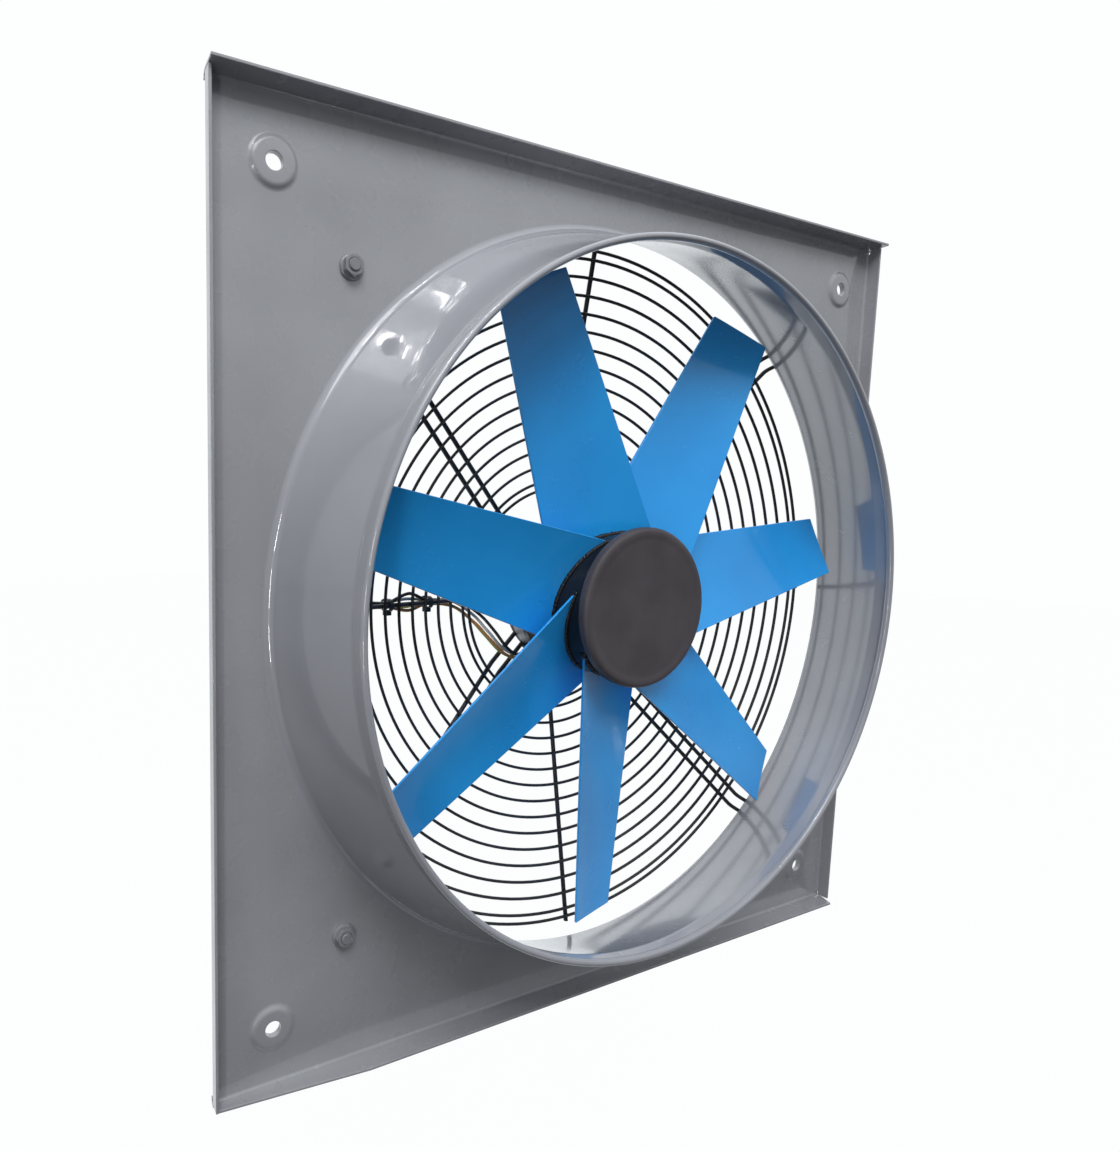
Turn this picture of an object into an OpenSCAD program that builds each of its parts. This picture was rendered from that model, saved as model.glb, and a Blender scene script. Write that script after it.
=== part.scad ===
// Wall mounted axial fan. A square sheet plate with folded edges carries a
// conical discharge cowl in front. Behind it a dished wire guard holds an
// external rotor motor, whose drum carries seven welded sheet blades.
// Every module is drawn in the plate's own frame: x to the right, y up and
// z forwards from the wall face. upright() then stands it on its edge.

/* [Wall plate] */
// Side of the square wall plate
plate_side = 640; // [630:5:680]
// Sheet thickness of the plate and the cowl
sheet_t = 2; // [1.5:0.25:2.5]
// Depth of the folded edges at the top and bottom, from the wall face
fold_depth = 17.5; // [15:0.5:24]
// Depth of the folded edges at both sides, from the wall face
side_fold_depth = 12; // [10:0.5:15]
// Outer radius of the folds
fold_r = 4; // [3:0.5:6]
// How far the fold ends are cut back at their front edge
fold_taper = 6; // [4:1:10]
// How much lower the bottom fold gets towards its left end
low_drop = 8; // [0:1:9]
// Centre distance of the four wall holes
wall_pitch = 556; // [550:2:564]
// Diameter of a wall hole
wall_hole_d = 11; // [9:0.5:12]
// Diameter of the pressed boss round a wall hole
boss_d = 32; // [28:1:36]
// Height of the pressed boss
boss_h = 2; // [1.5:0.1:2.5]

/* [Cowl] */
// Depth of the cowl, from the wall face to its rim
cowl_depth = 75; // [70:1:90]
// Radius of the rim, outside
rim_r = 252.5; // [252:0.5:258]
// Length of the straight band at the rim
rim_band = 12; // [6:1:20]
// Radius of the opening where the cowl meets the plate
base_r = 285; // [282:1:290]
// Front radius of the bend between cowl and plate
bend_r = 8; // [5:1:12]

/* [Guard] */
// Radius of the outermost guard ring
guard_r = 275.5; // [272:0.5:277]
// Radial pitch of the guard rings
ring_pitch = 13.1; // [12.8:0.1:13.2]
// Number of guard rings, with the close pairs at both edges
ring_count = 16; // [15:1:16]
// Wire diameter of the rings
ring_d = 2.4; // [2.2:0.1:3]
// Wire diameter of the struts and arms
strut_d = 3.6; // [3.2:0.1:4.5]
// Distance of the outermost ring behind the wall face
guard_gap = 15.5; // [13:0.5:17]
// Angle of the dished guard
dish_angle = 8.8; // [8:0.2:10]
// How far outside the outermost guard ring its bolts lie
bolt_reach = 42.7; // [40:0.1:45]
// Thread diameter of the guard bolts
guard_bolt_d = 8; // [6:1:8]
// Distance between the two wires of an arm, centre to centre
arm_gap = 12.2; // [12:0.1:14]

/* [Motor] */
// Outer radius of the rotor drum
drum_r = 55; // [53:0.5:57]
// Length of the rotor drum
drum_len = 72; // [70:1:78]
// Radius of the motor flange
flange_r = 53; // [51:1:55]
// Thickness of the motor flange
flange_t = 12; // [12:0.5:14]
// Radius of the round hub cover in front
cover_r = 60; // [59:0.5:64]
// Depth of the hub cover
cover_depth = 7; // [6:0.5:9]
// Diameter of the shaft
shaft_d = 12; // [11:0.5:13]
// Radial air gap between stator and rotor
air_gap = 0.4; // [0.3:0.1:0.6]

/* [Blades] */
// Number of blades
blade_count = 7; // [5:1:7]
// Radius of the blade tips
tip_r = 249.5; // [240:0.5:250]
// Width of a blade at the drum
root_w = 82; // [74:1:88]
// Width of a blade at its tip
tip_w = 49; // [40:1:60]
// Sheet thickness of a blade
blade_t = 2; // [1.5:0.25:2.5]
// Pitch angle of a blade
blade_pitch = 16; // [12:1:20]
// Radius of the curve across a blade
camber_r = 285; // [240:5:400]
// Forward lean of a blade
blade_rake = 1.4; // [0:0.1:2]
// Direction of the first blade, from the right, anticlockwise
blade_phase = 112.8; // [100:0.2:125]

/* [Leads and terminal box] */
// Diameter of one lead
lead_d = 2.6; // [2:0.2:2.8]
// Length of the terminal box, along the strut
box_len = 62; // [58:1:66]
// Height of the terminal box
box_w = 58; // [54:1:64]
// Depth of the terminal box without its lid
box_deep = 30; // [26:1:36]
// Wall thickness of the terminal box
box_t = 2.5; // [2:0.5:3]
// Bore of the supply cable gland
gland_bore = 8; // [6:0.5:9]

/* [Hidden] */
$fn = 96;
// Clearance between seated pieces, and of the shaft in its bearings
seat = 0.05;
// Overshoot of cutting bodies
cut = 1;

// Guard: where its wires lie
dish_slope = tan(dish_angle);
wire_back = (ring_d + strut_d) / 2 / cos(dish_angle) + seat;
ring_steps = concat([0], [for (i = [0 : ring_count - 3]) i + 0.5], [ring_count - 2]);
inner_ring_r = guard_r - ring_pitch * (ring_count - 2);
strut_in_r = inner_ring_r - 4;
strut_out_r = guard_r + 6;
bolt_s = guard_r + bolt_reach;
guard_pitch = bolt_s * sqrt(2);
arm_flat_h = -strut_d / 2 - seat;
arm_knee_r = inner_ring_r - 8;
arm_in_r = 30;
arm_bend_r = 9;
function ring_h(r) = -(guard_gap + dish_slope * (guard_r - r));
function wire_h(r) = ring_h(r) - wire_back;

// Motor: stacked forwards from the knee of the guard arms
mount_t = 3;
mount_h = wire_h(arm_knee_r) + strut_d / 2 + seat;
flange_h = mount_h + mount_t;
motor_h = flange_h + flange_t;
rotor_clear = 3;
drum_h = motor_h + rotor_clear;
drum_front_h = drum_h + drum_len;
drum_wall = 3.5;
front_wall = 6;
bearing_r = 16;
bearing_w = 10;
tube_r = 20;
core_r = 43.5;
core_back = 18;
core_front = 20;
core_len = drum_len - core_back - core_front;
core_h = motor_h + core_back;
rear_bearing_h = motor_h + 1;
front_bearing_h = core_h + core_len + 1;
tube_len = front_bearing_h + bearing_w + 1 - motor_h;
spring_t = 1;
clip_t = 1;
cap_t = 1.5;
screw_r = 40;
screw_d = 6;
bore_r = 22;

// Lead exit in the rim of the motor flange
exit_angle = 232;
exit_w = 9;
exit_h = motor_h - flange_t / 2;

// Blades: their middle lies this far behind the front of the drum
blade_back = 29.3;
blade_h = drum_front_h - blade_back;

// Terminal box: its frame lies on the left strut, with z square to the strut
box_r = guard_r - ring_pitch * 3.5;
bracket_t = 2;
bracket_h = -strut_d / 2 - 2 * seat - bracket_t;
lid_t = 3;
lid_h = bracket_h - box_deep;
clip_steps = [2, 5];
tie_steps = [8, 11];
inlet_w = 10;
inlet_z = bracket_h - box_deep * 0.45;

// Leads: the middle of the bundle, from the motor to the terminal box. The
// first three numbers are a place. The last two are what loose leads add to
// the side and away from the middle there.
tie_h = -strut_d / 2 - lead_d - 0.25;
function along_strut(r, back, down) = [-r, -down, wire_h(r) + back];
lead_route = [
  [-29, -37, exit_h, 0, 0],
  [-36, -46, exit_h, 0, 0],
  [-46, -49, exit_h - 1, 0, 0],
  [-59, -43, exit_h - 3, 1, 1],
  [24 - inner_ring_r, -30, exit_h - 11, 2, 1],
  [15 - inner_ring_r, -17, exit_h - 20, 2, 1],
  concat(along_strut(inner_ring_r + 8, tie_h - 4, 4), [1, 1]),
  concat(along_strut(guard_r - ring_pitch * 11, tie_h, 0), [0, 0]),
  concat(along_strut(guard_r - ring_pitch * 9.5, tie_h - 1, 0), [4, 1]),
  concat(along_strut(guard_r - ring_pitch * 8, tie_h, 0), [0, 0]),
  concat(along_strut(guard_r - ring_pitch * 8 + 6, tie_h, 0), [0, 0]),
  concat(along_strut(box_r - box_len / 2 - 9, inlet_z + 1, 0), [0, 0]),
  concat(along_strut(box_r - box_len / 2 + 8, inlet_z, 0), [0, 0])
];
lead_sides = 8;
lead_steps = 2;

module upright() {
  rotate([90, 0, 0]) children();
}

// Four copies at the corners of a square
module at_corners(pitch) {
  for (x = [-1, 1], y = [-1, 1]) translate([x * pitch / 2, y * pitch / 2, 0]) children();
}

// Frame on the left strut, with x outwards along it and z square to it
module on_strut(r) {
  rotate([0, 0, 180]) translate([r, 0, wire_h(r)]) rotate([0, -dish_angle, 0]) children();
}

module rounded_rect(length, width, r) {
  square([length - 2 * r, width], center = true);
  square([length, width - 2 * r], center = true);
  for (x = [-1, 1], y = [-1, 1])
    translate([x * (length / 2 - r), y * (width / 2 - r)]) circle(r = r, $fn = 32);
}

module ring(r_out, r_in, height) {
  difference() {
    cylinder(r = r_out, h = height);
    translate([0, 0, -cut]) cylinder(r = r_in, h = height + 2 * cut);
  }
}

function unit(v) = v / norm(v);
function turn_at(p, i) =
  let (u = unit(p[i] - p[i - 1]), v = unit(p[i + 1] - p[i])) atan2(cross(u, v), u * v);

// Round bar along points in the XY plane, with bends of one radius
module bent_bar(points, d, r) {
  last = len(points) - 1;
  for (i = [0 : last - 1]) {
    along = unit(points[i + 1] - points[i]);
    start = points[i] + along * (i > 0 ? r * tan(abs(turn_at(points, i)) / 2) : 0);
    stop = points[i + 1] - along * (i < last - 1 ? r * tan(abs(turn_at(points, i + 1)) / 2) : 0);
    translate([start.x, start.y, 0]) rotate([0, 0, atan2(along.y, along.x)]) rotate([0, 90, 0])
      cylinder(d = d, h = norm(stop - start), $fn = 24);
  }
  for (i = [1 : last - 1]) {
    turn = turn_at(points, i);
    along = unit(points[i] - points[i - 1]);
    start = points[i] - along * r * tan(abs(turn) / 2);
    centre = start + sign(turn) * r * [-along.y, along.x];
    from = atan2(start.y - centre.y, start.x - centre.x);
    translate([centre.x, centre.y, 0]) rotate([0, 0, turn > 0 ? from : from + turn])
      bend(abs(turn), d, r);
  }
}

// Bend of a round bar. It laps the straight bars at its ends by a hair.
module bend(turn, d, r) {
  lap = 0.3 / r * 180 / PI;
  rotate([0, 0, -lap]) rotate_extrude(angle = turn + 2 * lap) translate([r, 0])
    circle(d = d + 0.04, $fn = 24);
}

// Hexagon bolt with its head below z = 0 and its shank upwards
module hex_bolt(d, length, across, head) {
  translate([0, 0, -head]) rotate([0, 0, 30]) cylinder(d = across / cos(30), h = head, $fn = 6);
  translate([0, 0, -cut / 2]) cylinder(d = d, h = length + cut / 2, $fn = 32);
}

// Pan head screw with a cross recess, its head below z = 0
module pan_screw(d, length) {
  difference() {
    translate([0, 0, -0.6 * d]) cylinder(r1 = 0.7 * d, r2 = d, h = 0.6 * d, $fn = 32);
    for (a = [0, 90]) rotate([0, 0, a])
      translate([0, 0, -0.6 * d]) cube([1.1 * d, 0.2 * d, 0.5 * d], center = true);
  }
  translate([0, 0, -cut / 2]) cylinder(d = d, h = length + cut / 2, $fn = 24);
}

// Section of a folded edge, with the outside of the plate to the right
module fold_section(depth) {
  translate([plate_side / 2 - fold_r, fold_r]) intersection() {
    difference() {
      circle(r = fold_r, $fn = 48);
      circle(r = fold_r - sheet_t, $fn = 48);
    }
    translate([0, -fold_r]) square(fold_r);
  }
  translate([plate_side / 2 - sheet_t, fold_r]) square([sheet_t, depth - fold_r]);
  translate([plate_side / 2 - fold_r - cut, 0]) square([cut, sheet_t]);
}

module edge_fold(length, depth, taper) {
  slope = taper / (depth - fold_r);
  difference() {
    rotate([90, 0, 0]) linear_extrude(length, center = true) fold_section(depth);
    if (taper > 0)
      for (end = [0, 1]) mirror([0, end, 0])
        translate([plate_side / 2 - fold_r - cut, 0, 0]) rotate([90, 0, 90])
          linear_extrude(fold_r + 2 * cut) polygon([
            [length / 2, fold_r], [length / 2 + cut, fold_r], [length / 2 + cut, depth + cut],
            [length / 2 - taper - slope * cut, depth + cut]
          ]);
  }
}

// Pressed boss of a wall hole, as the solid of its front or of its recess. A
// drawn collar runs through it and bears on the wall.
module boss_form(inset, low, high) {
  rotate_extrude() polygon([
    [0, low], [boss_d / 2 - inset, low], [boss_d / 2 - inset, high],
    [boss_d / 2 - inset - 1.4 * boss_h, high + boss_h], [0, high + boss_h]
  ]);
}

module wall_plate() {
  collar_r = wall_hole_d / 2 + 2;
  low_run = 110;
  color("slategray") upright() difference() {
    union() {
      translate([0, 0, sheet_t / 2])
        cube([plate_side - 2 * fold_r, plate_side - 2 * fold_r, sheet_t], center = true);
      for (side = [0, 180]) rotate([0, 0, side])
        edge_fold(plate_side - 2 * fold_r - 2, side_fold_depth, 0);
      rotate([0, 0, 90]) edge_fold(plate_side, fold_depth, 0);
      rotate([0, 0, 270]) edge_fold(plate_side, fold_depth, fold_taper);
      at_corners(wall_pitch) boss_form(0, 0, sheet_t);
    }
    if (low_drop > 0)
      translate([0, -plate_side / 2 - cut, 0]) rotate([-90, 0, 0]) linear_extrude(fold_r + 2 * cut) polygon([
        [low_run - plate_side / 2, -fold_depth], [-plate_side / 2 - cut, low_drop * (1 + cut / low_run) - fold_depth],
        [-plate_side / 2 - cut, -fold_depth - cut], [low_run - plate_side / 2, -fold_depth - cut]
      ]);
    translate([0, 0, -cut]) cylinder(r = base_r, h = sheet_t + 2 * cut, $fn = 180);
    at_corners(wall_pitch) {
      difference() {
        boss_form(1, -cut, 0);
        translate([0, 0, -2 * cut]) cylinder(r = collar_r, h = fold_depth);
      }
      translate([0, 0, -cut]) cylinder(d = wall_hole_d, h = fold_depth);
    }
    at_corners(guard_pitch) translate([0, 0, -cut]) cylinder(d = guard_bolt_d + 1, h = sheet_t + 2 * cut);
  }
}

// The cowl's sheet section: a bend off the plate, a cone and a straight rim
module cowl_section() {
  c = [base_r, sheet_t + bend_r];
  p = [rim_r, cowl_depth - rim_band];
  reach = norm(c - p);
  lean = atan2(c.x - p.x, p.y - c.y) - asin(bend_r / reach);
  n = [cos(lean), sin(lean)];
  outer = c - bend_r * n;
  inner = c - (bend_r + sheet_t) * n;
  inside_r = rim_r - sheet_t;
  inside_h = inner.y + (inner.x - inside_r) / tan(lean);
  translate(c) intersection() {
    difference() {
      circle(r = bend_r + sheet_t);
      circle(r = bend_r);
    }
    polygon([[0, 0], -3 * bend_r * n, [-3 * bend_r * n.x, -3 * bend_r], [0, -3 * bend_r]]);
  }
  polygon([outer, p, [rim_r, cowl_depth], [inside_r, cowl_depth], [inside_r, inside_h], inner]);
}

module cowl_ring() {
  color("lightslategray") upright() rotate_extrude($fn = 180) cowl_section();
}

module guard_rings() {
  color("black") upright() for (step = ring_steps) {
    r = guard_r - ring_pitch * step;
    translate([0, 0, ring_h(r)]) rotate_extrude($fn = 120) translate([r, 0]) circle(d = ring_d, $fn = 16);
  }
}

// Four hairpins of wire. Each closed end lies round a bolt on the plate.
module guard_arms() {
  rise_r = guard_r + 17;
  path = [
    [arm_in_r, wire_h(arm_knee_r)], [arm_knee_r, wire_h(arm_knee_r)], [rise_r, wire_h(rise_r)],
    [rise_r + 11, arm_flat_h], [bolt_s, arm_flat_h]
  ];
  color("black") upright() for (a = [45 : 90 : 315]) rotate([0, 0, a]) {
    for (side = [-1, 1]) translate([0, side * arm_gap / 2, 0]) rotate([90, 0, 0])
      bent_bar(path, strut_d, arm_bend_r);
    translate([bolt_s, 0, arm_flat_h]) rotate([0, 0, -90]) bend(180, strut_d, arm_gap / 2);
  }
}

module guard_struts() {
  length = (strut_out_r - strut_in_r) / cos(dish_angle);
  color("black") upright() for (a = [0 : 90 : 270]) rotate([0, 0, a])
    translate([strut_in_r, 0, wire_h(strut_in_r)]) rotate([0, 90 - dish_angle, 0])
      cylinder(d = strut_d, h = length, $fn = 24);
}

washer_t = 2;
washer_h = arm_flat_h - strut_d / 2 - seat - washer_t;
nut_h = 5.2;
bolt_end = 1;

module guard_bolts() {
  color("silver") upright() at_corners(guard_pitch) translate([0, 0, washer_h - seat])
    hex_bolt(guard_bolt_d, sheet_t + nut_h + bolt_end - washer_h, 1.6 * guard_bolt_d, 0.65 * guard_bolt_d);
}

module guard_washers() {
  color("silver") upright() at_corners(guard_pitch) translate([0, 0, washer_h])
    ring(1.5 * guard_bolt_d, guard_bolt_d / 2 + 0.3, washer_t);
}

// Flanged hexagon nuts on the front of the plate
module guard_nuts() {
  color("gray") upright() at_corners(guard_pitch) translate([0, 0, sheet_t]) difference() {
    union() {
      cylinder(r = 1.06 * guard_bolt_d, h = 1);
      translate([0, 0, 1]) cylinder(r1 = 1.06 * guard_bolt_d, r2 = 0.9 * guard_bolt_d, h = 0.8);
      cylinder(d = 1.6 * guard_bolt_d / cos(30), h = nut_h, $fn = 6);
    }
    translate([0, 0, -cut]) cylinder(r = guard_bolt_d / 2 + seat, h = nut_h + 2 * cut);
  }
}

module motor_screw_places() {
  for (a = [0 : 90 : 270]) rotate([0, 0, a]) translate([screw_r, 0, 0]) children();
}

module motor_mount_plate() {
  color("dimgray") upright() translate([0, 0, mount_h]) difference() {
    ring(flange_r, bore_r, mount_t);
    motor_screw_places() translate([0, 0, -cut]) cylinder(d = screw_d + 0.6, h = mount_t + 2 * cut);
  }
}

// Cast flange with the tube that carries the stator and both bearings
module motor_flange() {
  step_h = rear_bearing_h + bearing_w + spring_t;
  color("lightgray") upright() difference() {
    union() {
      translate([0, 0, flange_h]) cylinder(r = flange_r, h = flange_t);
      translate([0, 0, motor_h - cut]) cylinder(r1 = tube_r + 8, r2 = tube_r + 2, h = 6 + cut);
      translate([0, 0, motor_h - cut]) cylinder(r = tube_r, h = tube_len + cut);
    }
    translate([0, 0, flange_h - cut]) cylinder(r = bearing_r, h = step_h - flange_h + cut);
    translate([0, 0, flange_h]) cylinder(r = bearing_r - 3, h = flange_t + tube_len + cut);
    translate([0, 0, front_bearing_h]) cylinder(r = bearing_r, h = bearing_w + 2 * cut);
    motor_screw_places() translate([0, 0, flange_h - cut]) cylinder(d = screw_d, h = flange_t - 1 + cut);
    lead_exit_cut(exit_w);
  }
}

// Radial pocket in the flange's rim, for the grommet
module lead_exit_cut(width) {
  rotate([0, 0, exit_angle]) translate([tube_r + 14, -width / 2, exit_h - width / 2])
    cube([flange_r, width, width]);
}

module lead_grommet() {
  color("black") upright() rotate([0, 0, exit_angle]) translate([flange_r - 6, 0, exit_h]) difference() {
    union() {
      translate([0, -exit_w / 2, -exit_w / 2]) cube([8, exit_w, exit_w]);
      translate([7.4, -exit_w / 2 - 1, -exit_w / 2 - 1]) cube([1.6, exit_w + 2, exit_w + 2]);
    }
    rotate([0, 90, 0]) translate([0, 0, -cut]) cylinder(r = lead_d * 1.4, h = 12);
  }
}

module motor_screws() {
  washer = 1.6;
  color("silver") upright() motor_screw_places() translate([0, 0, mount_h - washer - seat])
    hex_bolt(screw_d - 0.4, flange_t + washer - 2, 10, 4);
}

module motor_lock_washers() {
  color("gray") upright() motor_screw_places() translate([0, 0, mount_h - 1.6]) ring(6, screw_d / 2, 1.6);
}

module bearing_cap() {
  color("silver") upright() translate([0, 0, flange_h]) cylinder(r = bearing_r, h = cap_t);
}

// Sealed ball bearing, with its shields set back between the two races
module bearing(h) {
  color("silver") upright() translate([0, 0, h]) difference() {
    ring(bearing_r, shaft_d / 2 + seat, bearing_w);
    for (face = [-cut, bearing_w - 0.6]) translate([0, 0, face])
      ring(bearing_r - 2.5, shaft_d / 2 + 2.5, 0.6 + cut);
  }
}

module rear_bearing() {
  bearing(rear_bearing_h);
}

module front_bearing() {
  bearing(front_bearing_h);
}

module preload_spring() {
  color("silver") upright() translate([0, 0, rear_bearing_h + bearing_w])
    ring(bearing_r - 0.3, bearing_r - 2.6, spring_t);
}

// Laminated stator with one row of slots open to the air gap
module stator_core() {
  slots = 24;
  color("gray") upright() translate([0, 0, core_h]) linear_extrude(core_len) difference() {
    circle(r = core_r);
    circle(r = tube_r);
    for (i = [0 : slots - 1]) rotate(360 / slots * i) {
      translate([core_r - 8, 0]) circle(r = 3.2, $fn = 24);
      translate([core_r - 8, -0.9]) square([10, 1.8]);
    }
  }
}

// Rounded winding heads at both ends of the stator
module stator_winding() {
  head = 11;
  wide = core_r - tube_r - 6.5;
  color("peru") upright() for (h = [core_h - head - 0.1, core_h + core_len + 0.1])
    translate([0, 0, h]) rotate_extrude() translate([tube_r + 3.5 + wide / 2, head / 2]) {
      square([wide, head - 6], center = true);
      square([wide - 6, head], center = true);
      for (x = [-1, 1], y = [-1, 1])
        translate([x * (wide / 2 - 3), y * (head / 2 - 3)]) circle(r = 3, $fn = 24);
    }
}

function catmull(a, b, c, d, t) =
  0.5 * (2 * b + (c - a) * t + (2 * a - 5 * b + 4 * c - d) * t * t + (3 * b - a - 3 * c + d) * t * t * t);
function clamp_index(p, i) = p[max(0, min(len(p) - 1, i))];
function smooth(p, steps) = concat(
  [for (i = [0 : len(p) - 2], k = [0 : steps - 1])
    catmull(clamp_index(p, i - 1), p[i], p[i + 1], clamp_index(p, i + 2), k / steps)],
  [p[len(p) - 1]]
);
function heading(p, i) = unit(clamp_index(p, i + 1) - clamp_index(p, i - 1));
function side_of(t) = unit(cross(t, [0, 0, 1]));
function place(v) = [v.x, v.y, v.z];

// One lead: the bundle's route moved by a fixed share to the side and to the front
function lead_points(side, front, loose) =
  let (p = smooth(lead_route, lead_steps), m = [for (v = p) place(v)])
  [for (i = [0 : len(p) - 1])
    let (t = heading(m, i), b = side_of(t), n = cross(b, t))
    m[i] + b * (side + sign(side) * loose * p[i][3]) + n * (front + sign(front) * loose * p[i][4])];

module tube(points, d, sides) {
  rows = len(points);
  rims = [for (i = [0 : rows - 1]) let (t = heading(points, i), b = side_of(t), n = cross(b, t))
    for (k = [0 : sides - 1]) points[i] + d / 2 * (cos(360 * k / sides) * b + sin(360 * k / sides) * n)];
  walls = [for (i = [0 : rows - 2], k = [0 : sides - 1])
    let (a = i * sides + k, b = i * sides + (k + 1) % sides) each [[a, a + sides, b], [b, a + sides, b + sides]]];
  ends = [[for (k = [0 : sides - 1]) k], [for (k = [sides - 1 : -1 : 0]) (rows - 1) * sides + k]];
  polyhedron(rims, concat(walls, ends));
}

module lead(side, front, loose) {
  upright() tube(lead_points(side, front, loose), lead_d, lead_sides);
}

lead_off = lead_d / 2 + 0.12;

module lead_black() {
  color("black") lead(lead_off, lead_off, 1.6);
}

module lead_brown() {
  color("saddlebrown") lead(-lead_off, lead_off, 1);
}

module lead_grey() {
  color("gray") lead(lead_off, -lead_off, 0.4);
}

module lead_earth() {
  color("yellowgreen") lead(-lead_off, -lead_off, 0.4);
}

// Ties round the strut and the four leads
module lead_ties() {
  band = 1.1;
  inner_r = lead_off * sqrt(2) + lead_d / 2 + 0.45;
  front = strut_d / 2 + seat - inner_r;
  rear = tie_h - 0.3;
  color("black") upright() for (step = tie_steps) on_strut(guard_r - ring_pitch * step)
    rotate([90, 0, 90]) translate([0, 0, -1.8]) {
      linear_extrude(3.6) difference() {
        stadium(inner_r + band, front, rear);
        stadium(inner_r, front, rear);
      }
      translate([inner_r + band - 0.3, (front + rear) / 2 - 2.5, -0.6]) cube([3.2, 5, 4.8]);
    }
}

// Upright slot shape between two heights
module stadium(r, high, low) {
  for (y = [high, low]) translate([0, y]) circle(r = r, $fn = 48);
  translate([-r, low]) square([2 * r, high - low]);
}

bracket_len = box_len + 8;
clip_in = 3.5;

module box_bracket() {
  color("silver") upright() on_strut(box_r) translate([0, 0, bracket_h]) difference() {
    linear_extrude(bracket_t) rounded_rect(bracket_len, 34, 4);
    for (x = [-1, 1]) translate([x * box_len / 4, 11, -cut]) cylinder(d = 4.4, h = bracket_t + 2 * cut, $fn = 32);
    for (step = clip_steps, y = [-1, 1])
      translate([(guard_r - ring_pitch * step - box_r) / cos(dish_angle), y * (strut_d / 2 + 5), -cut])
        cylinder(d = 3.4, h = bracket_t + 2 * cut, $fn = 32);
  }
}

// Saddles that clamp the bracket to the strut, between two guard rings
module strut_clips() {
  thick = 1.2;
  foot = strut_d / 2 + 9;
  base = -strut_d / 2 - seat;
  color("silver") upright() for (step = clip_steps) on_strut(guard_r - ring_pitch * step)
    difference() {
      rotate([90, 0, 90]) translate([0, 0, -clip_in]) linear_extrude(2 * clip_in) difference() {
        union() {
          circle(r = strut_d / 2 + seat + thick, $fn = 48);
          translate([-strut_d / 2 - seat - thick, base]) square([strut_d + 2 * (seat + thick), -base]);
          translate([-foot, base]) square([2 * foot, thick]);
        }
        circle(r = strut_d / 2 + seat, $fn = 48);
        translate([-strut_d / 2 - seat, base - cut]) square([strut_d + 2 * seat, cut - base]);
        translate([-foot, base - foot]) square([2 * foot, foot]);
      }
      for (y = [-1, 1]) translate([0, y * (strut_d / 2 + 5), base - cut])
        cylinder(d = 3.4, h = 2 * cut + thick, $fn = 32);
    }
}

module clip_screws() {
  color("gray") upright() for (step = clip_steps, y = [-1, 1]) on_strut(guard_r - ring_pitch * step)
    translate([0, y * (strut_d / 2 + 5), -strut_d / 2 + 1.2]) rotate([180, 0, 0])
      pan_screw(3, 1.2 + bracket_t);
}

module terminal_box() {
  color("dimgray") upright() on_strut(box_r) translate([0, 0, lid_h]) difference() {
    linear_extrude(box_deep) rounded_rect(box_len, box_w, 5);
    translate([0, 0, -cut]) linear_extrude(box_deep - box_t + cut) difference() {
      rounded_rect(box_len - 2 * box_t, box_w - 2 * box_t, 3);
      for (x = [-1, 1], y = [-1, 1]) translate([x * (box_len / 2 - 4.5), y * (box_w / 2 - 4.5)])
        circle(r = 4, $fn = 32);
    }
    for (x = [-1, 1], y = [-1, 1]) translate([x * (box_len / 2 - 4.5), y * (box_w / 2 - 4.5), -cut])
      cylinder(d = 3, h = 12 + cut, $fn = 32);
    for (x = [-1, 1]) translate([x * box_len / 4, 11, 0]) cylinder(d = 4.4, h = box_deep + cut, $fn = 32);
    translate([-box_len / 2 - cut, 0, inlet_z - lid_h]) rotate([0, 90, 0])
      cylinder(d = inlet_w, h = box_t + 2 * cut, $fn = 32);
    translate([0, box_w / 2 - box_t - cut, box_deep * 0.42]) rotate([-90, 0, 0])
      cylinder(d = gland_bore + 8, h = box_t + 2 * cut);
  }
}

module box_screws() {
  color("silver") upright() on_strut(box_r) for (x = [-1, 1])
    translate([x * box_len / 4, 11, bracket_h - box_t - seat]) pan_screw(4, box_t + bracket_t + seat);
}

module lid_seal() {
  color("black") upright() on_strut(box_r) translate([0, 0, lid_h - 1]) linear_extrude(1) difference() {
    rounded_rect(box_len - 1, box_w - 1, 4.5);
    rounded_rect(box_len - 2 * box_t, box_w - 2 * box_t, 3);
    for (x = [-1, 1], y = [-1, 1]) translate([x * (box_len / 2 - 4.5), y * (box_w / 2 - 4.5)])
      circle(r = 2, $fn = 32);
  }
}

module box_lid() {
  color("dimgray") upright() on_strut(box_r) translate([0, 0, lid_h - 1 - lid_t]) difference() {
    linear_extrude(lid_t) rounded_rect(box_len, box_w, 5);
    for (x = [-1, 1], y = [-1, 1]) translate([x * (box_len / 2 - 4.5), y * (box_w / 2 - 4.5), -cut])
      cylinder(d = 3.4, h = lid_t + 2 * cut, $fn = 32);
  }
}

module lid_screws() {
  color("silver") upright() on_strut(box_r)
    for (x = [-1, 1], y = [-1, 1])
      translate([x * (box_len / 2 - 4.5), y * (box_w / 2 - 4.5), lid_h - 1 - lid_t - seat]) pan_screw(2.9, 12);
}

module box_grommet() {
  color("black") upright() on_strut(box_r) translate([-box_len / 2, 0, inlet_z]) rotate([0, 90, 0])
    difference() {
      union() {
        translate([0, 0, -1.6]) cylinder(d = inlet_w + 3, h = 1.6);
        translate([0, 0, -cut]) cylinder(d = inlet_w, h = box_t + cut);
        translate([0, 0, box_t]) cylinder(d = inlet_w + 2, h = 1.4);
      }
      translate([0, 0, -3]) cylinder(r = lead_d * 1.45, h = 12);
    }
}

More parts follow.
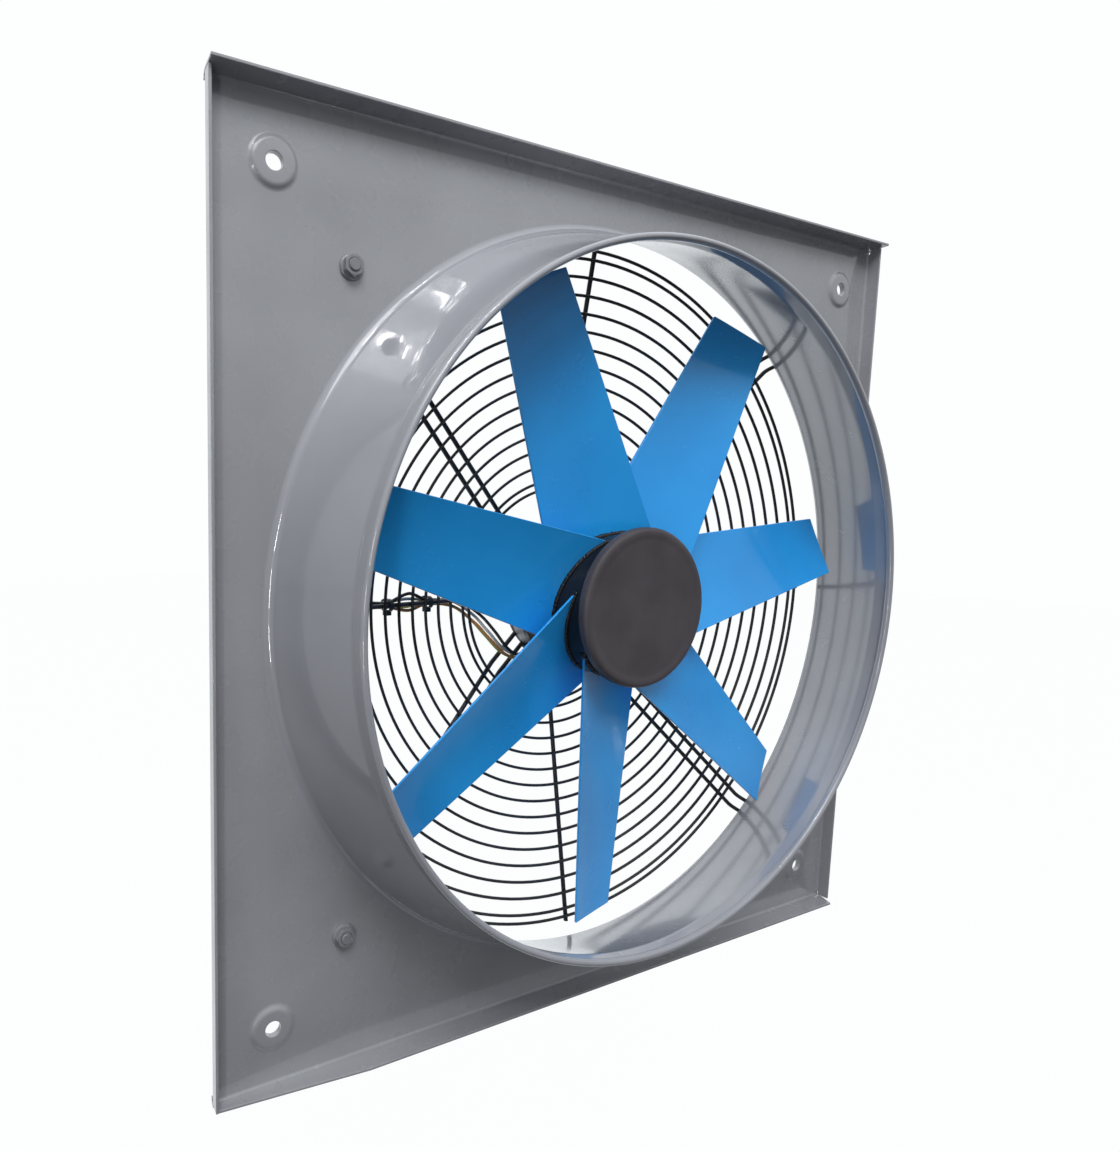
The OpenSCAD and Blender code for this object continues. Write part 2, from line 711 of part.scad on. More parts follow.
// Threaded gland for the supply cable, in the lower wall of the box
module supply_gland() {
  color("black") upright() on_strut(box_r)
    translate([0, box_w / 2, lid_h + box_deep * 0.42]) rotate([-90, 0, 0]) difference() {
      union() {
        translate([0, 0, -box_t - 8]) cylinder(d = gland_bore + 7.8, h = 8 + box_t);
        cylinder(d = (gland_bore + 12) / cos(30), h = 5, $fn = 6);
        translate([0, 0, 5]) cylinder(d = gland_bore + 9, h = 2);
        translate([0, 0, 7]) cylinder(d = (gland_bore + 10) / cos(30), h = 7, $fn = 6);
        translate([0, 0, 14]) cylinder(d1 = gland_bore + 9, d2 = gland_bore + 4, h = 3);
      }
      translate([0, 0, -box_t - 9]) cylinder(d = gland_bore, h = 28 + box_t);
    }
}

module gland_nut() {
  color("black") upright() on_strut(box_r)
    translate([0, box_w / 2 - box_t - 4, lid_h + box_deep * 0.42]) rotate([-90, 0, 0]) difference() {
      cylinder(d = (gland_bore + 11) / cos(30), h = 4, $fn = 6);
      translate([0, 0, -cut]) cylinder(d = gland_bore + 7.9, h = 4 + 2 * cut);
    }
}

block_len = 9;
ways = 4;
way_pitch = 8;

module terminal_block() {
  color("ivory") upright() on_strut(box_r) translate([7, -8, bracket_h - box_t - 11]) difference() {
    union() {
      for (i = [0 : ways - 1]) translate([-block_len / 2, (i - ways / 2) * way_pitch + 0.3, 2])
        cube([block_len, way_pitch - 0.6, 9]);
      translate([-block_len / 2 + 1, -ways / 2 * way_pitch + 0.3, 6])
        cube([block_len - 2, ways * way_pitch - 0.6, 5]);
    }
    for (i = [0 : ways - 1]) translate([0, (i + 0.5 - ways / 2) * way_pitch, 0]) {
      translate([-block_len, 0, 6]) rotate([0, 90, 0]) cylinder(d = 3.4, h = 2 * block_len, $fn = 24);
      translate([0, 0, -cut]) cylinder(d = 4, h = 5, $fn = 24);
    }
  }
}

module terminal_screws() {
  color("gold") upright() on_strut(box_r) translate([7, -8, bracket_h - box_t - 11])
    for (i = [0 : ways - 1]) translate([0, (i + 0.5 - ways / 2) * way_pitch, 2.2])
      cylinder(d = 3.9, h = 1.8, $fn = 24);
}

shaft_h = motor_h - flange_t + cap_t + 1;

module shaft() {
  color("silver") upright() difference() {
    translate([0, 0, shaft_h]) cylinder(d = shaft_d, h = drum_front_h - shaft_h);
    translate([0, 0, rear_bearing_h - clip_t - 0.4]) ring(shaft_d, shaft_d / 2 - 0.6, clip_t + 0.1);
  }
}

module shaft_circlip() {
  color("gray") upright() translate([0, 0, rear_bearing_h - clip_t - 0.35])
    ring(shaft_d / 2 + 2.4, shaft_d / 2 - 0.6, clip_t);
}

// Rotor drum, closed in front and open towards the motor flange
module rotor_drum() {
  boss_h = drum_front_h - front_bearing_h - bearing_w - 0.4;
  color([0.08, 0.08, 0.09]) upright() difference() {
    union() {
      difference() {
        translate([0, 0, drum_h]) cylinder(r = drum_r, h = drum_len);
        translate([0, 0, drum_h - cut]) cylinder(r = drum_r - drum_wall, h = drum_len - front_wall + cut);
      }
      translate([0, 0, drum_front_h - boss_h]) cylinder(r = shaft_d / 2 + 4, h = boss_h);
    }
    translate([0, 0, drum_h - cut]) cylinder(d = shaft_d + 0.02, h = drum_len + 2 * cut);
  }
}

module rotor_core() {
  color("gray") upright() translate([0, 0, core_h]) ring(drum_r - drum_wall, core_r + air_gap, core_len);
}

// Cast rings that close the rotor's cage at both ends of its core
module rotor_cage() {
  ring_w = 5;
  color("lightgray") upright() for (h = [core_h - ring_w, core_h + core_len])
    translate([0, 0, h]) ring(drum_r - drum_wall, core_r + air_gap, ring_w);
}

// Round cover with a rounded edge, pressed over the front of the drum
module hub_cover() {
  edge = 3.5;
  t = 2.5;
  back = drum_front_h + t - cover_depth;
  color([0.24, 0.23, 0.23]) upright() translate([0, 0, back]) difference() {
    rotate_extrude() {
      square([cover_r - edge, cover_depth]);
      square([cover_r, cover_depth - edge]);
      translate([cover_r - edge, cover_depth - edge]) intersection() {
        circle(r = edge);
        square(edge);
      }
    }
    translate([0, 0, -cut]) cylinder(r = drum_r, h = cover_depth - t + cut);
  }
}

// Sheet blade: a curved sheet, cut to its outline and to the drum
module blade(number) {
  span = tip_r + 10;
  half = root_w / 2;
  color([0.07, 0.38, 0.72]) upright() rotate([0, 0, blade_phase - 90 - 360 / blade_count * (number - 1)])
    difference() {
      intersection() {
        translate([0, 0, blade_h]) rotate([90 + blade_rake, 0, 0]) rotate([0, 0, blade_pitch])
          translate([0, 0, -span]) linear_extrude(span) intersection() {
            translate([0, camber_r]) difference() {
              circle(r = camber_r + blade_t, $fn = 360);
              circle(r = camber_r, $fn = 360);
            }
            translate([-root_w, -20]) square([2 * root_w, 40]);
          }
        translate([0, 0, -drum_len]) linear_extrude(3 * drum_len) intersection() {
          circle(r = tip_r, $fn = 180);
          polygon([[-half, 0], [-half, drum_r * 0.7], [-tip_w / 2, tip_r], [tip_w / 2, tip_r],
            [half, drum_r * 0.7], [half, 0]]);
        }
      }
      translate([0, 0, -drum_len]) cylinder(r = drum_r, h = 3 * drum_len);
    }
}

module blade_1() {
  blade(1);
}

module blade_2() {
  blade(2);
}

module blade_3() {
  blade(3);
}

module blade_4() {
  blade(4);
}

module blade_5() {
  blade(5);
}

module blade_6() {
  blade(6);
}

module blade_7() {
  blade(7);
}

wall_plate();
cowl_ring();
guard_rings();
guard_arms();
guard_struts();
guard_bolts();
guard_washers();
guard_nuts();
motor_mount_plate();
motor_flange();
motor_screws();
motor_lock_washers();
bearing_cap();
rear_bearing();
front_bearing();
preload_spring();
stator_core();
stator_winding();
lead_grommet();
lead_black();
lead_brown();
lead_grey();
lead_earth();
lead_ties();
box_bracket();
strut_clips();
clip_screws();
terminal_box();
box_screws();
box_lid();
lid_seal();
lid_screws();
box_grommet();
supply_gland();
gland_nut();
terminal_block();
terminal_screws();
shaft();
shaft_circlip();
rotor_drum();
rotor_core();
rotor_cage();
hub_cover();
blade_1();
blade_2();
blade_3();
blade_4();
blade_5();
blade_6();
blade_7();
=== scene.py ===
"""Wall mounted axial fan: grey plate and cowl, blue sheet blades, black wire guard."""

import math

import bmesh
import bpy
from bpy.props import FloatProperty, FloatVectorProperty, IntProperty, PointerProperty
from bpy.types import Operator, Panel, PropertyGroup
from mathutils import Matrix, Vector


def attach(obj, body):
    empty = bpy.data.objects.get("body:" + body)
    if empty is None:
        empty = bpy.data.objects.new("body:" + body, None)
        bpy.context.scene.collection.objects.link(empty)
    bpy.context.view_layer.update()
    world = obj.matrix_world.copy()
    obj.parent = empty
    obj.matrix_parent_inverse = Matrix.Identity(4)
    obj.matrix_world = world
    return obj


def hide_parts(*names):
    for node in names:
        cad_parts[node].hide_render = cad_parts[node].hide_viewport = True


bl_info = {
    "name": "Wall Mounted Axial Fan",
    "version": (1, 0, 0),
    "blender": (4, 5, 0),
    "location": "3D View > Sidebar > Axial Fan",
    "description": "Finishes a wall mounted axial fan around its fixed construction model",
    "category": "Add Mesh",
}

MM = 0.001

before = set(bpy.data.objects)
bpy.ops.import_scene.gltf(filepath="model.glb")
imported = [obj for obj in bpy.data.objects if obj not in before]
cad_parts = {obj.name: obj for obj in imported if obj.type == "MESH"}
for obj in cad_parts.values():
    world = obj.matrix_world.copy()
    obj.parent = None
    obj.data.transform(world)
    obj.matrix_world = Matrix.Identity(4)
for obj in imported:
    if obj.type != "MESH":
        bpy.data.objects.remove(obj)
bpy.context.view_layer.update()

# Sizes of the construction model, in millimetres. Places are x, upwards, and forwards from the wall.

SHEET = 2.0
SEAT = 0.05

# Wall plate, with a pressed boss round each wall hole
HALF_SIDE = 320.0
SIDE_FOLD_END = 315.0
BOSS_PLACE = 278.0
BOSS_FOOT_R = 16.0
BOSS_TOP_R = 13.2
BOSS_TOP = 4.0

# Cowl: the radius and height of the middle of its bend off the plate, then its cone, band and rim
COWL_FOOT = (285.0, 10.0)
COWL_BEND = 8.0
COWL_R = 252.5
BAND_START = 63.0
COWL_FRONT = 75.0
RIM_ROUND = 2.4

# Wire guard, with its struts and arms behind the rings
GUARD_R = 275.5
RING_PITCH = 13.1
RING_COUNT = 16
RING_D = 2.4
STRUT_D = 3.6
GUARD_GAP = 15.5
DISH = math.radians(8.8)
BOLT_R = 318.2
ARM_GAP = 12.2
INNER_R = GUARD_R - RING_PITCH * (RING_COUNT - 2)
KNEE_R = INNER_R - 8
WIRE_BACK = (RING_D + STRUT_D) / 2 / math.cos(DISH) + SEAT
ARM_FLAT = -STRUT_D / 2 - SEAT

# Fasteners of the guard
BOLT_SHANK_R = 4.0
BOLT_FLATS = 12.8
THREAD_PITCH = 1.25
HEAD_HEIGHT = 5.2
NUT_HEIGHT = 5.2
WASHER = 2.0

# Rotor and leads
DRUM_R = 55.0
COVER_R = 60.0
LEAD_D = 2.6


def ring_level(r):
    """Height of a guard ring of radius r, forwards of the wall."""
    return -(GUARD_GAP + math.tan(DISH) * (GUARD_R - r))


def wire_level(r):
    """Height of the struts and arms, which lie behind the rings."""
    return ring_level(r) - WIRE_BACK


MOUNT_LEVEL = wire_level(KNEE_R) + STRUT_D / 2 + SEAT
MOTOR_LEVEL = MOUNT_LEVEL + 3 + 12
DRUM_LEVEL = MOTOR_LEVEL + 3
DRUM_FRONT = DRUM_LEVEL + 72


def spot(across, up, forwards):
    """A place in the room, in metres."""
    return Vector((across, -forwards, up)) * MM


# Colours and nodes


def linear(hex_text):
    """Linear RGBA of an sRGB hex colour."""
    parts = [int(hex_text[i : i + 2], 16) / 255 for i in (1, 3, 5)]
    return tuple(v / 12.92 if v <= 0.04045 else ((v + 0.055) / 1.055) ** 2.4 for v in parts) + (1.0,)


def add(tree, kind, inputs=None, **settings):
    """A new node with its settings, input values and links. A node as an input gives its first output."""
    node = tree.nodes.new(kind)
    for name, value in settings.items():
        setattr(node, name, value)
    for name, value in (inputs or {}).items():
        if isinstance(value, bpy.types.Node):
            value = value.outputs[0]
        if isinstance(value, bpy.types.NodeSocket):
            tree.links.new(value, node.inputs[name])
        else:
            node.inputs[name].default_value = value
    return node


def blank_material(name):
    """A material without nodes, its tree, and object coordinates in metres."""
    material = bpy.data.materials.new(name)
    material.use_nodes = True
    tree = material.node_tree
    tree.nodes.clear()
    return material, tree, add(tree, "ShaderNodeTexCoord").outputs["Object"]


def finished(material, inputs):
    """Ends a material in its shader."""
    tree = material.node_tree
    shader = add(tree, "ShaderNodeBsdfPrincipled", inputs)
    add(tree, "ShaderNodeOutputMaterial", {"Surface": shader})
    return material


def patches(tree, place, size, low, high, detail=3.0, rough=0.5):
    """A value that runs from low to high in soft patches of a size in metres."""
    cloud = add(
        tree, "ShaderNodeTexNoise", {"Vector": place, "Scale": 1 / size, "Detail": detail, "Roughness": rough}
    )
    ends = {"From Min": 0.35, "From Max": 0.65, "To Min": low, "To Max": high}
    return add(tree, "ShaderNodeMapRange", {"Value": cloud, **ends})


def tones(tree, place, size, light, dark, detail=3.0):
    """Two close tones in soft patches of a size in metres."""
    share = patches(tree, place, size, 0.0, 1.0, detail)
    return add(tree, "ShaderNodeMix", {0: share, 6: light, 7: dark}, data_type="RGBA").outputs[2]


def grain(tree, place, size, depth, detail=2.0, rough=0.5):
    """A raised grain, by the size and depth of its bumps in metres."""
    bumps = add(
        tree, "ShaderNodeTexNoise", {"Vector": place, "Scale": 1 / size, "Detail": detail, "Roughness": rough}
    )
    return add(tree, "ShaderNodeBump", {"Height": bumps, "Strength": 1.0, "Distance": depth})


def gloss_enamel(name, light, dark, roughness=0.22, coat=0.5, shine=1.5, film=0.06):
    """Sprayed gloss enamel on sheet steel: a clear gloss over a faint orange peel, with thin dust."""
    material, tree, place = blank_material(name)
    # Orange peel of about 2.5 mm, and the slow waves that a rolled sheet keeps, about 90 mm long
    peel = grain(tree, place, 0.0025, 0.000006, 1.0)
    waves = grain(tree, place, 0.09, 0.0012, 1.0)
    tree.links.new(peel.outputs[0], waves.inputs["Normal"])
    look = {
        "Base Color": tones(tree, place, 0.11, light, dark),
        "Roughness": patches(tree, place, 0.03, roughness * 0.8, roughness * 1.4, 4.0, 0.6),
        "Coat Weight": coat,
        "Coat Roughness": film,
        "Coat IOR": shine,
        "Normal": waves,
    }
    return finished(material, look)


def powder_coat(name, light, dark, roughness=0.38):
    """Powder coat baked on wire or cast metal: even, with a fine pebbled skin."""
    material, tree, place = blank_material(name)
    # The pebbles are drawn 1.2 mm across, coarser than real ones, so that they show
    look = {
        "Base Color": tones(tree, place, 0.02, light, dark),
        "Roughness": patches(tree, place, 0.02, roughness * 0.85, roughness * 1.25),
        "Normal": grain(tree, place, 0.0012, 0.00004),
    }
    return finished(material, look)


def zinc_plate(name, light, dark, roughness=0.3):
    """Bright zinc plate on a pressed steel fastener: a soft metal gloss with faint cloudy patches."""
    material, tree, place = blank_material(name)
    look = {
        "Base Color": tones(tree, place, 0.004, light, dark),
        "Metallic": 1.0,
        "Roughness": patches(tree, place, 0.004, roughness * 0.7, roughness * 1.4),
        "Normal": grain(tree, place, 0.0007, 0.00001),
    }
    return finished(material, look)


def cast_alloy(name, light, dark):
    """Die cast aluminium: a dull grey skin with small pits."""
    material, tree, place = blank_material(name)
    look = {
        "Base Color": tones(tree, place, 0.012, light, dark, 4.0),
        "Metallic": 1.0,
        "Roughness": 0.5,
        "Normal": grain(tree, place, 0.0015, 0.00009, 4.0, 0.7),
    }
    return finished(material, look)


def plastic_skin(tree, place, roughness, size=0.0008, depth=0.00003):
    """An even low gloss over a fine texture, which is drawn coarser than a real one so that it shows."""
    return {
        "Roughness": patches(tree, place, 0.03, roughness * 0.9, roughness * 1.15),
        "Normal": grain(tree, place, size, depth),
    }


def moulded_plastic(name, light, dark, roughness=0.5, size=0.0008, depth=0.00003):
    """Moulded plastic or rubber: a fine spark-eroded texture with an even low gloss."""
    material, tree, place = blank_material(name)
    colour = tones(tree, place, 0.03, light, dark)
    return finished(material, {"Base Color": colour, **plastic_skin(tree, place, roughness, size, depth)})


def striped_sleeve(name, first, second, roughness=0.45):
    """Extruded silicone sleeve in two colours, which run along the lead as four equal stripes."""
    material, tree, place = blank_material(name)
    around = add(tree, "ShaderNodeAttribute", attribute_name="round").outputs["Vector"]
    parts = add(tree, "ShaderNodeSeparateXYZ", {0: around})
    cross = add(tree, "ShaderNodeMath", {0: parts.outputs[0], 1: parts.outputs[1]}, operation="MULTIPLY")
    stripe = add(tree, "ShaderNodeMapRange", {"Value": cross, "From Min": -0.04, "From Max": 0.04})
    colour = add(tree, "ShaderNodeMix", {0: stripe, 6: first, 7: second}, data_type="RGBA").outputs[2]
    return finished(material, {"Base Color": colour, **plastic_skin(tree, place, roughness)})


MATERIALS = {}


def finish_with(obj, key):
    """Gives an object one material in every slot."""
    obj.data.materials.clear()
    obj.data.materials.append(MATERIALS[key])
    return obj


# Making pieces


def new_object(name, mesh):
    """An object in the scene that carries a mesh."""
    obj = bpy.data.objects.new(name, mesh)
    bpy.context.scene.collection.objects.link(obj)
    return obj


def stands_for(obj, key, body, *nodes, slot=None):
    """Finishes a piece, lets it ride on its body and stand for its construction nodes."""
    finish_with(obj, key)
    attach(obj, body)
    if nodes:
        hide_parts(*nodes)
    return obj


def smooth(mesh, angle=32.0):
    """Smooth shading with sharp edges past an angle in degrees."""
    mesh.shade_smooth()
    mesh.set_sharp_from_angle(angle=math.radians(angle))


def merged_copy(node):
    """A merged copy of a construction node's mesh, with its flat faces whole."""
    shape = bmesh.new()
    shape.from_mesh(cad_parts[node].data)
    bmesh.ops.remove_doubles(shape, verts=shape.verts, dist=0.000002)
    bmesh.ops.dissolve_limit(
        shape,
        angle_limit=math.radians(0.4),
        use_dissolve_boundaries=False,
        verts=shape.verts,
        edges=shape.edges,
    )
    return shape


def finish_edges(shape, node, key, body, width, segments=2, skip=None):
    """An object from a copy of a construction node, with its sharp edges broken by a small round."""
    weight = shape.edges.layers.float.new("bevel_weight_edge")
    for edge in shape.edges:
        if edge.is_manifold and edge.calc_face_angle(0.0) > math.radians(32) and not (skip and skip(edge)):
            edge[weight] = 1.0
    mesh = bpy.data.meshes.new(f"{node}_finished")
    shape.to_mesh(mesh)
    shape.free()
    smooth(mesh)
    obj = new_object(mesh.name, mesh)
    edge = obj.modifiers.new("Broken edges", "BEVEL")
    edge.width = width
    edge.segments = segments
    edge.limit_method = "WEIGHT"
    edge.use_clamp_overlap = False
    edge.harden_normals = True
    return stands_for(obj, key, body, node)


def softened(node, key, body, width, segments=2):
    """A construction node with its edges broken by a small round, in millimetres."""
    return finish_edges(merged_copy(node), node, key, body, width * MM, segments)


def outward_mesh(name, shape, angle=32.0):
    """A smooth mesh of a closed shape, with its faces turned outwards."""
    bmesh.ops.recalc_face_normals(shape, faces=shape.faces)
    mesh = bpy.data.meshes.new(name)
    shape.to_mesh(mesh)
    shape.free()
    smooth(mesh, angle)
    return mesh


def lathe(name, profile, segments):
    """A closed profile of radius and height, in millimetres, turned about the fan's axis."""
    shape = bmesh.new()
    rings = []
    for r, h in profile:
        if r < 0.001:
            rings.append([shape.verts.new(spot(0, 0, h))])
        else:
            turns = [2 * math.pi * k / segments for k in range(segments)]
            rings.append([shape.verts.new(spot(r * math.cos(a), r * math.sin(a), h)) for a in turns])
    count = len(rings)
    for i in range(count):
        first, second = rings[i], rings[(i + 1) % count]
        if len(first) == 1 and len(second) == 1:
            continue
        for k in range(segments):
            j = (k + 1) % segments
            near_side = [first[k % len(first)], first[j % len(first)]]
            far_side = [second[j % len(second)], second[k % len(second)]]
            shape.faces.new(list(dict.fromkeys(near_side + far_side)))
    return outward_mesh(name, shape)


def turned(name, rings, closed=False):
    """A turned or hexagonal fastener, from rings of height, radius and half width over flats."""
    sides = 72
    shape = bmesh.new()
    rows = []
    for h, r, flat in rings:
        row = []
        for k in range(sides):
            a = 2 * math.pi * k / sides
            reach = r
            if flat:
                off = (a + math.pi / 6) % (math.pi / 3) - math.pi / 6
                reach = min(r, flat / math.cos(off))
            row.append(shape.verts.new(spot(reach * math.cos(a), reach * math.sin(a), h)))
        rows.append(row)
    for i in range(len(rows) if closed else len(rows) - 1):
        first, second = rows[i], rows[(i + 1) % len(rows)]
        for k in range(sides):
            j = (k + 1) % sides
            shape.faces.new((first[k], first[j], second[j], second[k]))
    if not closed:
        shape.faces.new(rows[0])
        shape.faces.new(rows[-1])
    return outward_mesh(name, shape, 28)


def rounded_path(points, radius, steps=8):
    """Points in a plane joined by straight runs, with a round bend at each inner point."""
    path = [Vector(points[0])]
    for before, corner, after in zip(points, points[1:], points[2:]):
        before, corner, after = Vector(before), Vector(corner), Vector(after)
        back, on = (before - corner).normalized(), (after - corner).normalized()
        half = back.angle(on) / 2
        reach = radius / math.tan(half)
        centre = corner + (back + on).normalized() * radius / math.sin(half)
        start, stop = corner + back * reach - centre, corner + on * reach - centre
        for k in range(steps + 1):
            path.append(centre + radius * start.slerp(stop, k / steps))
    path.append(Vector(points[-1]))
    return path


# Geometry Nodes trees


def new_tree(name, sizes):
    """A tree with a geometry input and output, named size inputs, and its input node."""
    tree = bpy.data.node_groups.new(name, "GeometryNodeTree")
    tree.interface.new_socket("Geometry", in_out="INPUT", socket_type="NodeSocketGeometry")
    for label, kind in sizes.items():
        tree.interface.new_socket(label, in_out="INPUT", socket_type=kind)
    tree.interface.new_socket("Geometry", in_out="OUTPUT", socket_type="NodeSocketGeometry")
    return tree, tree.nodes.new("NodeGroupInput")


def end_tree(tree, geometry, material):
    """Ends a tree in real geometry with its material."""
    real = add(tree, "GeometryNodeRealizeInstances", {"Geometry": geometry})
    shaded = add(tree, "GeometryNodeSetShadeSmooth", {"Geometry": real})
    coated = add(tree, "GeometryNodeSetMaterial", {"Geometry": shaded, "Material": material})
    add(tree, "NodeGroupOutput", {0: coated})


def grown(name, mesh, tree, values):
    """A plain mesh object that a tree makes from a base mesh."""
    base = new_object(f"{name}_base", mesh)
    rule = base.modifiers.new("Rule", "NODES")
    rule.node_group = tree
    for item in tree.interface.items_tree:
        if item.in_out == "INPUT" and item.name in values:
            rule[item.identifier] = values[item.name]
    graph = bpy.context.evaluated_depsgraph_get()
    result = bpy.data.meshes.new_from_object(base.evaluated_get(graph), depsgraph=graph)
    result.name = name
    base.modifiers.remove(rule)
    bpy.data.objects.remove(base)
    if not result.polygons:
        raise RuntimeError(f"{name} came out empty")
    return new_object(name, result)


def ring_tree(material):
    """Round wire rings, dished backwards, with a close pair at the rim and at the middle."""
    sizes = {name: "NodeSocketFloat" for name in ("Outer radius", "Pitch", "Wire", "Gap", "Slope")}
    tree, given = new_tree("Guard rings", {"Rings": "NodeSocketInt", **sizes})
    # The first two rings, and the last two, lie half a pitch apart
    last = add(tree, "ShaderNodeMath", {0: given.outputs["Rings"], 1: 2.0}, operation="SUBTRACT")
    index = add(tree, "GeometryNodeInputIndex")
    middle = add(tree, "ShaderNodeMath", {0: index, 1: 0.5}, operation="SUBTRACT")
    inside = add(tree, "ShaderNodeMath", {0: middle, 1: last}, operation="MINIMUM")
    step = add(tree, "ShaderNodeMath", {0: inside, 1: 0.0}, operation="MAXIMUM")
    inwards = add(tree, "ShaderNodeMath", {0: step, 1: given.outputs["Pitch"]}, operation="MULTIPLY")
    radius = add(tree, "ShaderNodeMath", {0: given.outputs["Outer radius"], 1: inwards}, operation="SUBTRACT")
    dish = {0: inwards, 1: given.outputs["Slope"], 2: given.outputs["Gap"]}
    back = add(tree, "ShaderNodeMath", dish, operation="MULTIPLY_ADD")
    place = add(tree, "ShaderNodeCombineXYZ", {"Y": back})
    points = add(tree, "GeometryNodePoints", {"Count": given.outputs["Rings"], "Position": place})
    loop = add(tree, "GeometryNodeCurvePrimitiveCircle", {"Resolution": 160, "Radius": 1.0})
    upright = add(tree, "GeometryNodeTransform", {"Geometry": loop, "Rotation": (math.pi / 2, 0, 0)})
    scale = add(tree, "ShaderNodeCombineXYZ", {"X": radius, "Y": radius, "Z": radius})
    loops = add(tree, "GeometryNodeInstanceOnPoints", {"Points": points, "Instance": upright, "Scale": scale})
    real = add(tree, "GeometryNodeRealizeInstances", {"Geometry": loops})
    even = add(tree, "GeometryNodeSetCurveRadius", {"Curve": real, "Radius": 1.0})
    half = add(tree, "ShaderNodeMath", {0: given.outputs["Wire"], 1: 0.5}, operation="MULTIPLY")
    section = add(tree, "GeometryNodeCurvePrimitiveCircle", {"Resolution": 12, "Radius": half})
    wire = add(tree, "GeometryNodeCurveToMesh", {"Curve": even, "Profile Curve": section})
    end_tree(tree, wire, material)
    return tree


def wire_tree(name, material):
    """A round bar along each run of edges, which keeps the place round its section as an attribute."""
    tree, given = new_tree(name, {"Diameter": "NodeSocketFloat", "Sides": "NodeSocketInt"})
    line = add(tree, "GeometryNodeMeshToCurve", {"Mesh": given.outputs["Geometry"]})
    even = add(tree, "GeometryNodeSetCurveRadius", {"Curve": line, "Radius": 1.0})
    half = add(tree, "ShaderNodeMath", {0: given.outputs["Diameter"], 1: 0.5}, operation="MULTIPLY")
    outline = {"Resolution": given.outputs["Sides"], "Radius": half}
    section = add(tree, "GeometryNodeCurvePrimitiveCircle", outline)
    place = add(tree, "GeometryNodeInputPosition")
    direction = add(tree, "ShaderNodeVectorMath", {0: place}, operation="NORMALIZE")
    marked = add(
        tree,
        "GeometryNodeStoreNamedAttribute",
        {"Geometry": section, "Name": "round", "Value": direction},
        data_type="FLOAT_VECTOR",
        domain="POINT",
    )
    bar = add(tree, "GeometryNodeCurveToMesh", {"Curve": even, "Profile Curve": marked, "Fill Caps": True})
    end_tree(tree, bar, material)
    return tree


def drops(tree, given, points, segments, least, most, flatness):
    """A small drop on each point, with slight differences in size."""
    ball = {"Segments": segments, "Rings": segments // 2 + 1, "Radius": 1.0}
    drop = add(tree, "GeometryNodeMeshUVSphere", ball)
    chance = {"Seed": given.outputs["Seed"], 2: least, 3: most}
    vary = add(tree, "FunctionNodeRandomValue", chance, data_type="FLOAT").outputs[1]
    size = add(tree, "ShaderNodeMath", {0: vary, 1: given.outputs["Size"]}, operation="MULTIPLY")
    thin = add(tree, "ShaderNodeMath", {0: size, 1: flatness}, operation="MULTIPLY")
    scale = add(tree, "ShaderNodeCombineXYZ", {"X": size, "Y": thin, "Z": size})
    return add(tree, "GeometryNodeInstanceOnPoints", {"Points": points, "Instance": drop, "Scale": scale})


def weld_tree(material):
    """A flat drop of weld on each point."""
    tree, given = new_tree("Weld drops", {"Size": "NodeSocketFloat", "Seed": "NodeSocketInt"})
    end_tree(tree, drops(tree, given, given.outputs["Geometry"], 10, 0.85, 1.15, 0.75), material)
    return tree


def bead_tree(material):
    """A weld bead of overlapping ripples along each run of edges."""
    sizes = {"Ripple": "NodeSocketFloat", "Size": "NodeSocketFloat", "Seed": "NodeSocketInt"}
    tree, given = new_tree("Weld bead", sizes)
    line = add(tree, "GeometryNodeMeshToCurve", {"Mesh": given.outputs["Geometry"]})
    spaced = {"Curve": line, "Length": given.outputs["Ripple"]}
    dots = add(tree, "GeometryNodeCurveToPoints", spaced, mode="LENGTH")
    end_tree(tree, drops(tree, given, dots, 12, 0.82, 1.12, 1.0), material)
    return tree


def corner_tree(name, material):
    """A copy of the piece at each corner of a square, each turned by its own amount."""
    tree, given = new_tree(name, {"Spacing": "NodeSocketFloat", "Seed": "NodeSocketInt"})
    side = given.outputs["Spacing"]
    square = {"Size X": side, "Size Y": side, "Vertices X": 2, "Vertices Y": 2}
    grid = add(tree, "GeometryNodeMeshGrid", square)
    upright = add(tree, "GeometryNodeTransform", {"Geometry": grid, "Rotation": (math.pi / 2, 0, 0)})
    chance = {"Seed": given.outputs["Seed"], 2: 0.0, 3: 1.05}
    vary = add(tree, "FunctionNodeRandomValue", chance, data_type="FLOAT").outputs[1]
    spin = add(tree, "ShaderNodeCombineXYZ", {"Y": vary})
    placed = {"Points": upright, "Instance": given.outputs["Geometry"], "Rotation": spin}
    end_tree(tree, add(tree, "GeometryNodeInstanceOnPoints", placed), material)
    return tree


# Settings


class FanDetailSettings(PropertyGroup):
    edge_break: FloatProperty(
        name="Edge break",
        description="Width of the small round on sheared and moulded edges",
        default=0.0005,
        unit="LENGTH",
        subtype="DISTANCE",
    )
    spot_weld: FloatProperty(
        name="Spot weld",
        description="Radius of the weld where two guard wires cross",
        default=0.0012,
        unit="LENGTH",
        subtype="DISTANCE",
    )
    bead: FloatProperty(
        name="Weld bead",
        description="Radius of the weld bead between a blade and the drum",
        default=0.0021,
        unit="LENGTH",
        subtype="DISTANCE",
    )
    ripple: FloatProperty(
        name="Bead ripple",
        description="Distance between two ripples of a weld bead",
        default=0.0014,
        unit="LENGTH",
        subtype="DISTANCE",
    )
    cowl_segments: IntProperty(
        name="Cowl segments",
        description="Number of flats round the cowl",
        default=288,
        min=96,
        max=512,
    )


